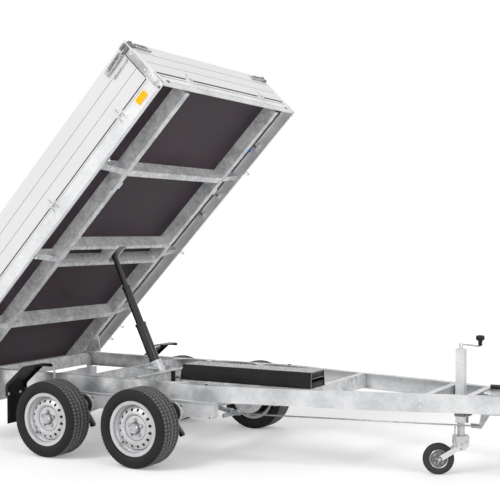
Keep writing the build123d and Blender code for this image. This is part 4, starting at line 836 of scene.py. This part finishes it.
rampTop = ((0.474, 1.446), (-0.409, -0.233), (0.6422, 0.6431))
joinPiece("ramp_worn_top", [blockMesh(*rampTop, chassisFrame, 0)], "chassis", "cast_zinc")
rampEnds = {"x": (1.440, 1.446),
            "blocks": [((-0.4155, -0.2265), (0.5380, 0.5725)), ((-0.4155, -0.2265), (0.5780, 0.6125)),
                       ((-0.4095, -0.2325), (0.6085, 0.6385))]}
caps = [blockMesh(rampEnds["x"], ys, zs, chassisFrame, 0.001) for ys, zs in rampEnds["blocks"]]
joinPiece("ramp_end_caps", caps, "chassis", "black_plastic")

rampEdges = {"x": (1.4500, 1.4508), "width": 0.0026, "outer": (-0.4195, -0.2225), "inner": (-0.4135, -0.2285),
             "levels": (0.5372, 0.5990, 0.6385)}
low, middle, high = rampEdges["levels"]
width, outer, inner = rampEdges["width"], rampEdges["outer"], rampEdges["inner"]
bars = [((y - width / 2, y + width / 2), zs) for ys, zs in ((outer, (low, middle)), (inner, (middle, high + width)))
        for y in ys]
bars += [(ys, (z, z + width)) for z, ys in ((low, outer), (middle, outer), (high, inner))]
edges = [blockMesh(rampEdges["x"], ys, zs, chassisFrame, 0) for ys, zs in bars]
joinPiece("ramp_cut_edges", edges, "chassis", "bright_zinc")

rampRibs = {"x": (0.466, 1.449), "face": -0.4201, "rise": 0.0024,
            "lines": ((0.5905, 0.0050), (0.5715, 0.0030), (0.5500, 0.0030))}
ys = (rampRibs["face"] - rampRibs["rise"], rampRibs["face"] + 0.001)
strips = [blockMesh(rampRibs["x"], ys, (z, z + tall), chassisFrame, 0.0003) for z, tall in rampRibs["lines"]]
joinPiece("ramp_side_ribs", strips, "chassis", "black_plastic")

rampGrip = {"x": (0.490, 1.430), "y": (-0.402, -0.240), "top": 0.6430, "rows": 5, "columns": 30,
            "tooth": (0.0062, 0.0030, 0.0085, 0.0010, 8)}


def evenly(ends, count):
    return [ends[0] + (ends[1] - ends[0]) * index / (count - 1) for index in range(count)]


spots = [spotIn(chassisFrame, (x, y, rampGrip["top"]), up)
         for x in evenly(rampGrip["x"], rampGrip["columns"]) for y in evenly(rampGrip["y"], rampGrip["rows"])]
scatter("ramp_teeth", "bolts", spots, rampGrip["tooth"], "chassis", "cast_zinc")
print("ramp teeth made")


# jockey wheel: crank with its black knob, clamp and fork bolts, release handle, rim details

crank = {"reach": 0.122, "radius": 0.0056,
         "arm": [(0.0, 0.8270), (0.025, 0.8270), (0.060, 0.8240), (0.095, 0.8175), (0.115, 0.8150), (0.1215, 0.8160),
                 (0.122, 0.8250)],
         "hub": [(0.0, 0.7985), (0.0170, 0.7985), (0.0170, 0.8050), (0.0110, 0.8075), (0.0110, 0.8340),
                 (0.0085, 0.8385), (0.0, 0.8385)],
         "knob": [(0.0, 0.8190), (0.0125, 0.8190), (0.0130, 0.8440), (0.0165, 0.8520), (0.0250, 0.8560),
                  (0.0278, 0.8625), (0.0278, 0.8740), (0.0245, 0.8830), (0.0140, 0.8860), (0.0, 0.8860)]}
hub = joinPiece("crank_hub", [latheMesh(crank["hub"], 32, jockeyFrame)], "chassis", "bright_zinc")
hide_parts("jockey_crank")
sweepWires("crank_arm", [pathIn(jockeyFrame, [(x, 0, z) for x, z in crank["arm"]])], crank["radius"], "chassis")
knobPlace = jockeyFrame @ Matrix.Translation((crank["reach"], 0, 0))
joinPiece("crank_knob", [latheMesh(crank["knob"], 36, knobPlace)], "chassis", "black_plastic", angle=40)

jockey = {
    "tubeRivet": (2.314, -0.028, 0.783), "rivet": (0.0055, 0.4), "clampX": (2.290, 2.322), "clampY": 0.038,
    "clampZ": 0.410, "clampBolt": (0.0075, 0.006, 0.0095), "forkY": 0.034, "forkBolt": (0.0065, 0.005, 0.0085),
    "forkBolts": [(0.0, 0.196), (0.030, 0.212), (-0.006, 0.166), (-0.034, 0.186)], "handleRadius": 0.0042,
    "handle": [(-0.036, -0.036, 0.196), (-0.044, -0.038, 0.230), (-0.046, -0.038, 0.270), (-0.046, -0.038, 0.300),
               (-0.042, -0.030, 0.306), (-0.040, -0.016, 0.306)],
    "wheelX": -0.144, "wheelZ": 0.100, "ringY": 0.010,
    "ring": [(0.047, -0.002), (0.0612, -0.002), (0.0615, 0.0085), (0.0580, 0.0115), (0.0525, 0.0085), (0.049, 0.003)],
    "rimTurns": (45, 135, 225, 315), "rimCircle": 0.034, "rimY": 0.0088, "rimBolt": (0.0045, 0.004, 0.006),
    "shadeY": 0.0368, "shade": (0.0185, 0.08), "axleY": 0.038, "axleNut": (0.0105, 0.008, 0.0135)}


# a spot on each side of the jockey wheel
def jockeyPair(x, y, z):
    return [spotIn(jockeyFrame, (x, side * y, z), (0, side, 0)) for side in bothSides]


wheelX, wheelZ = jockey["wheelX"], jockey["wheelZ"]
scatter("jockey_tube_rivets", "rivets", mirrored([spotIn(chassisFrame, jockey["tubeRivet"], right)]), jockey["rivet"],
        "chassis")
spots = [spotIn(chassisFrame, (x, side * jockey["clampY"], jockey["clampZ"]), (0, side, 0))
         for x in jockey["clampX"] for side in bothSides]
scatter("jockey_clamp_bolts", "bolts", spots, jockey["clampBolt"], "chassis")
spots = [spot for x, z in jockey["forkBolts"] for spot in jockeyPair(x, jockey["forkY"], z)]
scatter("jockey_fork_bolts", "bolts", spots, jockey["forkBolt"], "jockey_caster")
sweepWires("jockey_release", [pathIn(jockeyFrame, jockey["handle"])], jockey["handleRadius"], "jockey_caster")
rings = [latheMesh(jockey["ring"], 40, standOn(*spot)) for spot in jockeyPair(wheelX, jockey["ringY"], wheelZ)]
joinPiece("jockey_rim_rings", rings, "jockey_wheel", "bright_zinc")
circle = [(jockey["rimCircle"] * cos(radians(turn)), jockey["rimCircle"] * sin(radians(turn)))
          for turn in jockey["rimTurns"]]
spots = [spotIn(jockeyFrame, (wheelX + x, side * jockey["rimY"], wheelZ + z), (0, side, 0))
         for side in bothSides for x, z in circle]
scatter("jockey_rim_bolts", "bolts", spots, jockey["rimBolt"], "jockey_wheel")
scatter("jockey_hub_shades", "rivets", jockeyPair(wheelX, jockey["shadeY"], wheelZ), jockey["shade"], "jockey_caster",
        "black_rubber")
scatter("jockey_axle_nuts", "bolts", jockeyPair(wheelX, jockey["axleY"], wheelZ), jockey["axleNut"], "jockey_caster")
print("jockey wheel fittings made")


# bed: black strips of painted shade in the slots round the panels, seams and painted shade lines on the frame, corner
# plates with their bolts
# u runs along the bed from its hinge, v across it, w up from its floor

bed = {"sideHinges": (2.175, 1.370, 0.565, -0.240), "headHinges": (-0.490, 0.490), "hingeHalf": 0.036,
       "sideEnds": (-0.298, 2.472), "sideFace": 0.906, "headFace": 2.537}


def runsBetween(start, end, stops):
    runs, last, gap = [], start, bed["hingeHalf"]
    for stop in sorted(stops):
        if stop - gap > last:
            runs.append((last, stop - gap))
        last = stop + gap
    return runs + [(last, end)]


# a thin bar on both side frames, or one on the front rail, from just inside the face to just proud of it
def sideBars(us, ws, proud, sides=bothSides):
    face = bed["sideFace"]
    return [blockMesh(us, (side * (face - 0.001), side * (face + proud)), ws, bedFrame, 0) for side in sides]


def headBar(vs, ws, proud):
    return blockMesh((bed["headFace"] - 0.001, bed["headFace"] + proud), vs, ws, bedFrame, 0)


# painted shade: black strips fill the slots under the panels, where the gaps lie in shade
slotShade = {"headHalf": 0.859, "low": 0.0970, "high": 0.1055, "headLow": 0.0890, "sideDepth": (0.886, 0.9066),
        "headDepth": (2.517, 2.5378)}
slotShadeStrips = [blockMesh(us, [side * v for v in slotShade["sideDepth"]], (slotShade["low"], slotShade["high"]), bedFrame, 0.0006)
         for us in runsBetween(*bed["sideEnds"], bed["sideHinges"]) for side in bothSides]
slotShadeStrips += [blockMesh(slotShade["headDepth"], vs, (slotShade["headLow"], slotShade["high"]), bedFrame, 0.0006)
          for vs in runsBetween(-slotShade["headHalf"], slotShade["headHalf"], bed["headHinges"])]
joinPiece("slot_shade_strips", slotShadeStrips, "bed", "black_rubber")

# a row of a seam or of a painted shade line: its foot, its height, the hinges that break it
seamAndShade = {"proud": 0.0005, "headHalf": 0.852,
        "side": [(0.0845, 0.0020, bed["sideHinges"]), (-0.0140, 0.0030, ())],
        "head": [(0.0640, 0.0060, bed["headHinges"]), (0.0130, 0.0030, ()), (-0.0050, 0.0025, ())]}
seamAndShadeBars = [bar for w, tall, stops in seamAndShade["side"] for us in runsBetween(*bed["sideEnds"], stops)
         for bar in sideBars(us, (w, w + tall), seamAndShade["proud"])]
seamAndShadeBars += [headBar(vs, (w, w + tall), seamAndShade["proud"]) for w, tall, stops in seamAndShade["head"]
          for vs in runsBetween(-seamAndShade["headHalf"], seamAndShade["headHalf"], stops)]
# dark lines on the frame: partly seams, partly painted shade below the slots and along the lower edge
joinPiece("frame_seams_and_shade_lines", seamAndShadeBars, "bed", "galvanised", "seamShade")

# the shadowed joints between the panels' boards
boardJoints = {"w": (0.2053, 0.3047), "half": 0.0011, "proud": 0.0004, "u": (-0.299, 2.473), "v": (-0.860, 0.860)}
levels = [(w - boardJoints["half"], w + boardJoints["half"]) for w in boardJoints["w"]]
for body, side in (("dropside_right", -1), ("dropside_left", 1)):
    joints = [bar for ws in levels for bar in sideBars(boardJoints["u"], ws, boardJoints["proud"], (side,))]
    joinPiece("board_joints_" + body, joints, body, "panel_aluminium", "seamShade")
joints = [headBar(boardJoints["v"], ws, boardJoints["proud"]) for ws in levels]
joinPiece("board_joints_headboard", joints, "headboard", "panel_aluminium", "seamShade")

# a corner's row: its plates' run along the bed, and its seal's
cornerPlates = {"rows": (((2.483, 2.531), (2.4772, 2.4816)), ((-0.357, -0.309), (-0.3072, -0.3030))),
                "upperW": (0.128, 0.316), "lowerW": (0.010, 0.124), "sealW": (0.108, 0.330), "face": 0.910,
                "thickness": 0.0014, "boltOffset": 0.004, "boltW": (0.302, 0.142, 0.096, 0.036),
                "bolt": (0.0068, 0.004, 0.0085, 0.0014, 12)}
outer = cornerPlates["face"] + cornerPlates["thickness"]
upperPlates, lowerPlates, edgeSeals, spots = [], [], [], []
for us, sealUs in cornerPlates["rows"]:
    for side in bothSides:
        vs = (side * cornerPlates["face"], side * outer)
        upperPlates.append(blockMesh(us, vs, cornerPlates["upperW"], bedFrame, 0.0005))
        lowerPlates.append(blockMesh(us, vs, cornerPlates["lowerW"], bedFrame, 0.0005))
        edgeSeals.append(blockMesh(sealUs, vs, cornerPlates["sealW"], bedFrame, 0.0003))
        spots += [spotIn(bedFrame, (sum(us) / 2 + cornerPlates["boltOffset"], side * outer, w), (0, side, 0))
                  for w in cornerPlates["boltW"]]
joinPiece("corner_plates_upper", upperPlates, "bed", "cast_zinc")
joinPiece("corner_plates_lower", lowerPlates, "bed", "galvanised")
joinPiece("panel_end_seals", edgeSeals, "bed", "black_rubber")
scatter("corner_plate_bolts", "bolts", spots, cornerPlates["bolt"], "bed", finish="frameSheet")
print("bed seals, seams and corner plates made")


# hinges: bolt heads on the leaves

hingeBolts = {"offset": 0.0215, "frameW": (0.064, 0.082), "leafW": (0.119, 0.138), "face": 0.9162, "headFace": 2.5472,
              "bolt": (0.0052, 0.0045, 0.0072, 0.0012)}
offsets = (-hingeBolts["offset"], hingeBolts["offset"])
frameSpots, rightSpots, headSpots = [], [], []
for u in bed["sideHinges"]:
    frameSpots += [spotIn(bedFrame, (u + offset, -hingeBolts["face"], w), right)
                   for w in hingeBolts["frameW"] for offset in offsets]
    rightSpots += [spotIn(bedFrame, (u, -hingeBolts["face"], w), right) for w in hingeBolts["leafW"]]
frameSpots = mirrored(frameSpots)
for v in bed["headHinges"]:
    frameSpots += [spotIn(bedFrame, (hingeBolts["headFace"], v + offset, w), ahead)
                   for w in hingeBolts["frameW"] for offset in offsets]
    headSpots += [spotIn(bedFrame, (hingeBolts["headFace"], v, w), ahead) for w in hingeBolts["leafW"]]
leftSpots = mirrored(rightSpots)[len(rightSpots):]
for body, spots in (("bed", frameSpots), ("dropside_right", rightSpots), ("dropside_left", leftSpots),
                    ("headboard", headSpots)):
    scatter("hinge_bolts_" + body, "bolts", spots, hingeBolts["bolt"], body)


# latches: rivets and a wound spring on each, a second bar below the side ones; bar ends are x and rise

latch = {"w": 0.358, "frontU": 2.474, "rearU": -0.300, "headV": 0.861, "springX": (-0.111, -0.037), "springOut": 0.0105,
         "springRise": 0.008, "springRadius": 0.0064, "wire": 0.0013, "turns": 13, "rivet": (0.0050, 0.5),
         "rivets": [(-0.176, 0.003, 0.010), (-0.176, 0.003, -0.012), (-0.012, 0.015, 0.014), (-0.012, 0.015, -0.016)],
         "barStart": (-0.006, -0.058), "barEnd": (-0.166, -0.064), "barHalf": 0.0055, "barFoot": 0.0005,
         "barOut": 0.008, "barInset": 0.010, "barRivet": (0.0052, 0.0035, 0.0065, 0.001)}
barFaces = [(0, 1, 2, 3), (4, 5, 6, 7), (0, 1, 5, 4), (1, 2, 6, 5), (2, 3, 7, 6), (3, 0, 4, 7)]


# a latch point in the bed's frame: x runs along the panel, negative away from the post
def latchPoint(kind, side, x, out, rise):
    w = latch["w"] + rise
    if kind == "front":
        return Vector((latch["frontU"] + x, side * (bed["sideFace"] + out), w))
    if kind == "rear":
        return Vector((latch["rearU"] - x, side * (bed["sideFace"] + out), w))
    return Vector((bed["headFace"] + out, side * (latch["headV"] + x), w))


def latchCoil(kind, side):
    (start, end), radius = latch["springX"], latch["springRadius"]
    return pathIn(bedFrame, [latchPoint(kind, side, start + (end - start) * share, latch["springOut"] + radius * c,
                                        latch["springRise"] + radius * s) for share, c, s in coilSteps(latch["turns"])])


def latchBar(kind, side):
    (x0, rise0), (x1, rise1) = latch["barStart"], latch["barEnd"]
    half, inset = latch["barHalf"], latch["barInset"]
    corners = [latchPoint(kind, side, x, out, rise) for out in (latch["barFoot"], latch["barOut"])
               for x, rise in ((x0, rise0 - half), (x0, rise0 + half), (x1, rise1 + half), (x1, rise1 - half))]
    mesh = bpy.data.meshes.new("latchBar")
    mesh.from_pydata(pathIn(bedFrame, corners), [], barFaces)
    spots = [spotIn(bedFrame, latchPoint(kind, side, x, latch["barOut"], rise), (0, side, 0))
             for x, rise in ((x0 - inset, rise0), ((x0 + x1) / 2, (rise0 + rise1) / 2), (x1 + inset, rise1))]
    return faceOutwards(mesh), spots


latchPlaces = {"dropside_right": [("front", -1), ("rear", -1)], "dropside_left": [("front", 1), ("rear", 1)],
               "headboard": [("head", -1), ("head", 1)]}
for body, places in latchPlaces.items():
    sweepWires("latch_springs_" + body, [latchCoil(*place) for place in places], latch["wire"], body,
               finish="seamShade", sides=6)
    spots = [spotIn(bedFrame, latchPoint(kind, side, x, out, rise), ahead if kind == "head" else (0, side, 0))
             for kind, side in places for x, out, rise in latch["rivets"]]
    scatter("latch_rivets_" + body, "rivets", spots, latch["rivet"], body, finish="frameSheet")
    if body != "headboard":
        bars = [latchBar(*place) for place in places]
        joinPiece("latch_bars_" + body, [mesh for mesh, spots in bars], body, "bright_zinc")
        scatter("latch_bar_rivets_" + body, "bolts", [spot for mesh, spots in bars for spot in spots],
                latch["barRivet"], body)
print("hinge and latch fittings made")


# under the bed: lashing hooks on the side frames' lips, a blue drain cap

underBed = {"hooks": (1.900, 1.000, 0.100, -0.060), "hookWire": 0.0042, "lipV": 0.896, "lipW": -0.018,
            "hook": ((-0.010, -0.004, 0.004), (-0.010, 0.0, -0.010), (-0.008, 0.012, -0.026), (0.0, 0.018, -0.032),
                     (0.008, 0.012, -0.026), (0.010, 0.0, -0.010), (0.010, -0.004, 0.004)),
            "capPlace": (2.067, 0.845, 0.0618),
            "cap": [(0.0, 0.0), (0.020, 0.0), (0.020, 0.006), (0.012, 0.008), (0.0115, 0.020), (0.009, 0.024),
                    (0.0, 0.024)]}
hooks = [pathIn(bedFrame, [(u + across, side * (underBed["lipV"] + out), underBed["lipW"] + drop)
                           for across, out, drop in underBed["hook"]])
         for u in underBed["hooks"] for side in bothSides]
sweepWires("lashing_hooks", hooks, underBed["hookWire"], "bed", sides=8)
capStand = standOn(*spotIn(bedFrame, underBed["capPlace"], down))
joinPiece("blue_cap", [latheMesh(underBed["cap"], 28, capStand)], "bed", "black_plastic", "blueCap")

# clamps on the longerons, small brackets on the far frame's inner face, an eye and a bolt at the front rail's ends
clamps = {"u": (1.665, 1.715), "v": (0.584, 0.650), "w": (-0.0440, -0.0382), "lipTop": 0.012, "lip": 0.004}
farFittings = {"brackets": [(2.085, 2.150, 0.028, 0.078), (1.575, 1.615, 0.020, 0.092), (1.360, 1.400, 0.018, 0.062)],
               "inner": 0.868, "web": 0.9022, "sheet": 0.003, "boltInset": 0.014, "bolt": (0.008, 0.008, 0.011),
               "eye": (2.537, 0.809, 0.018), "eyeSize": (0.014, 0.25), "endBolt": (2.500, 0.906, -0.012),
               "endBoltSize": (0.008, 0.010, 0.010)}
brackets, spots = [], []
for side in bothSides:
    v0, v1 = (side * v for v in clamps["v"])
    brackets.append(blockMesh(clamps["u"], (v0, v1), clamps["w"], bedFrame, 0.001))
    brackets.append(blockMesh(clamps["u"], (side * (clamps["v"][1] - clamps["lip"]), v1),
                              (clamps["w"][0], clamps["lipTop"]), bedFrame, 0.001))
inner, sheet, inset = farFittings["inner"], farFittings["sheet"], farFittings["boltInset"]
for u0, u1, w0, w1 in farFittings["brackets"]:
    brackets.append(blockMesh((u0, u1), (inner, inner + sheet), (w0, w1), bedFrame, 0.0008))
    brackets.append(blockMesh((u0, u1), (inner, farFittings["web"]), (w0, w0 + sheet), bedFrame, 0.0008))
    spots += [spotIn(bedFrame, ((u0 + u1) / 2, inner, w), right) for w in (w0 + inset, w1 - inset)]
joinPiece("frame_brackets", brackets, "bed", "galvanised", "frameSheet")
scatter("frame_bracket_bolts", "bolts", spots, farFittings["bolt"], "bed", "cast_zinc", "seamShade")
scatter("rail_eyes", "rivets", mirrored([spotIn(bedFrame, farFittings["eye"], ahead)]), farFittings["eyeSize"], "bed",
        "black_plastic")
scatter("frame_end_bolts", "bolts", mirrored([spotIn(bedFrame, farFittings["endBolt"], left)]),
        farFittings["endBoltSize"], "bed", "cast_zinc", "seamShade")
print("fittings under the bed made")


# cylinder: a ring on the body's collar and an oil port; coupling housing bolts, grease nipples and grip rings

cylinder = {"ring": [(0.0475, 0.034), (0.0505, 0.036), (0.0505, 0.046), (0.0475, 0.048)], "port": (0, -0.045, -0.316),
            "portBolt": (0.012, 0.014, 0.015, 0.004)}
joinPiece("collar_ring", [latheMesh(cylinder["ring"], 56, cylinderFrame)], "cylinder", "bright_zinc")
port = (cylinderFrame @ Vector(cylinder["port"]), Vector(right))
scatter("oil_port", "bolts", [port], cylinder["portBolt"], "cylinder")

housing = {"boltX": (2.500, 2.560, 2.720, 2.780), "face": 0.046, "boltZ": 0.500, "bolt": (0.0095, 0.007, 0.0125),
           "nippleX": (2.600, 2.740), "top": 0.546, "nipple": (0.0042, 0.012, 0.0062, 0.003),
           "gripX": (2.492, 2.512, 2.532, 2.552, 2.572), "gripY": 0.066, "gripZ": 0.562,
           "grip": [(0.0123, -0.003), (0.0155, -0.0015), (0.0155, 0.0015), (0.0123, 0.003)]}
spots = [spotIn(chassisFrame, (x, -housing["face"], housing["boltZ"]), right) for x in housing["boltX"]]
scatter("housing_bolts", "bolts", mirrored(spots), housing["bolt"], "chassis")
spots = [spotIn(chassisFrame, (x, 0, housing["top"]), up) for x in housing["nippleX"]]
scatter("grease_nipples", "bolts", spots, housing["nipple"], "chassis")
rings = [latheMesh(housing["grip"], 32, standOn(chassisFrame @ Vector((x, housing["gripY"], housing["gripZ"])), ahead))
         for x in housing["gripX"]]
joinPiece("grip_rings", rings, "chassis", "black_rubber")

# below the housing: black damper, a spring and bolts by the brake lever
damper = {"place": (2.475, -0.020, 0.437), "length": 0.165, "radius": 0.0205, "step": 0.004, "springX": (2.395, 2.455),
          "springY": -0.072, "springZ": 0.330, "springRadius": 0.0135, "wire": 0.0028, "turns": 7,
          "bolts": [(2.470, -0.052, 0.420), (2.505, -0.052, 0.420), (2.540, -0.052, 0.425)],
          "bolt": (0.0095, 0.008, 0.013)}
length, wide, slim = damper["length"], damper["radius"], damper["radius"] - damper["step"]
profile = [(0.0, 0.0), (0.011, 0.0), (0.012, 0.012), (wide, 0.016), (wide, length * 0.55), (slim, length * 0.57),
           (slim, length - 0.012), (0.010, length), (0.0, length)]
stand = standOn(chassisFrame @ Vector(damper["place"]), ahead)
joinPiece("housing_damper", [latheMesh(profile, 32, stand)], "chassis", "black_plastic")
(start, end), radius = damper["springX"], damper["springRadius"]
spring = pathIn(chassisFrame, [(start + (end - start) * share, damper["springY"] + radius * c,
                                damper["springZ"] + radius * s) for share, c, s in coilSteps(damper["turns"])])
sweepWires("rod_spring", [spring], damper["wire"], "chassis", sides=8)
spots = [spotIn(chassisFrame, point, right) for point in damper["bolts"]]
scatter("lever_bolts", "bolts", spots, damper["bolt"], "chassis")

# tail lamps: amber end and three ribs across the red lens
lamps = {"x": (-1.2082, -1.205), "amberY": (0.628, 0.684), "amberZ": (0.291, 0.397), "ribY": (0.496, 0.626),
         "ribZ": (0.314, 0.344, 0.374), "ribWidth": 0.003}
ambers = [blockMesh(lamps["x"], [side * y for y in lamps["amberY"]], lamps["amberZ"], chassisFrame)
          for side in bothSides]
ribs = [blockMesh(lamps["x"], [side * y for y in lamps["ribY"]], (z, z + lamps["ribWidth"]), chassisFrame, 0.0008)
        for side in bothSides for z in lamps["ribZ"]]
joinPiece("lamp_ambers", ambers, "chassis", "amber_lens")
joinPiece("lamp_ribs", ribs, "chassis", "red_lens")
print("cylinder, coupling and lamp fittings made")
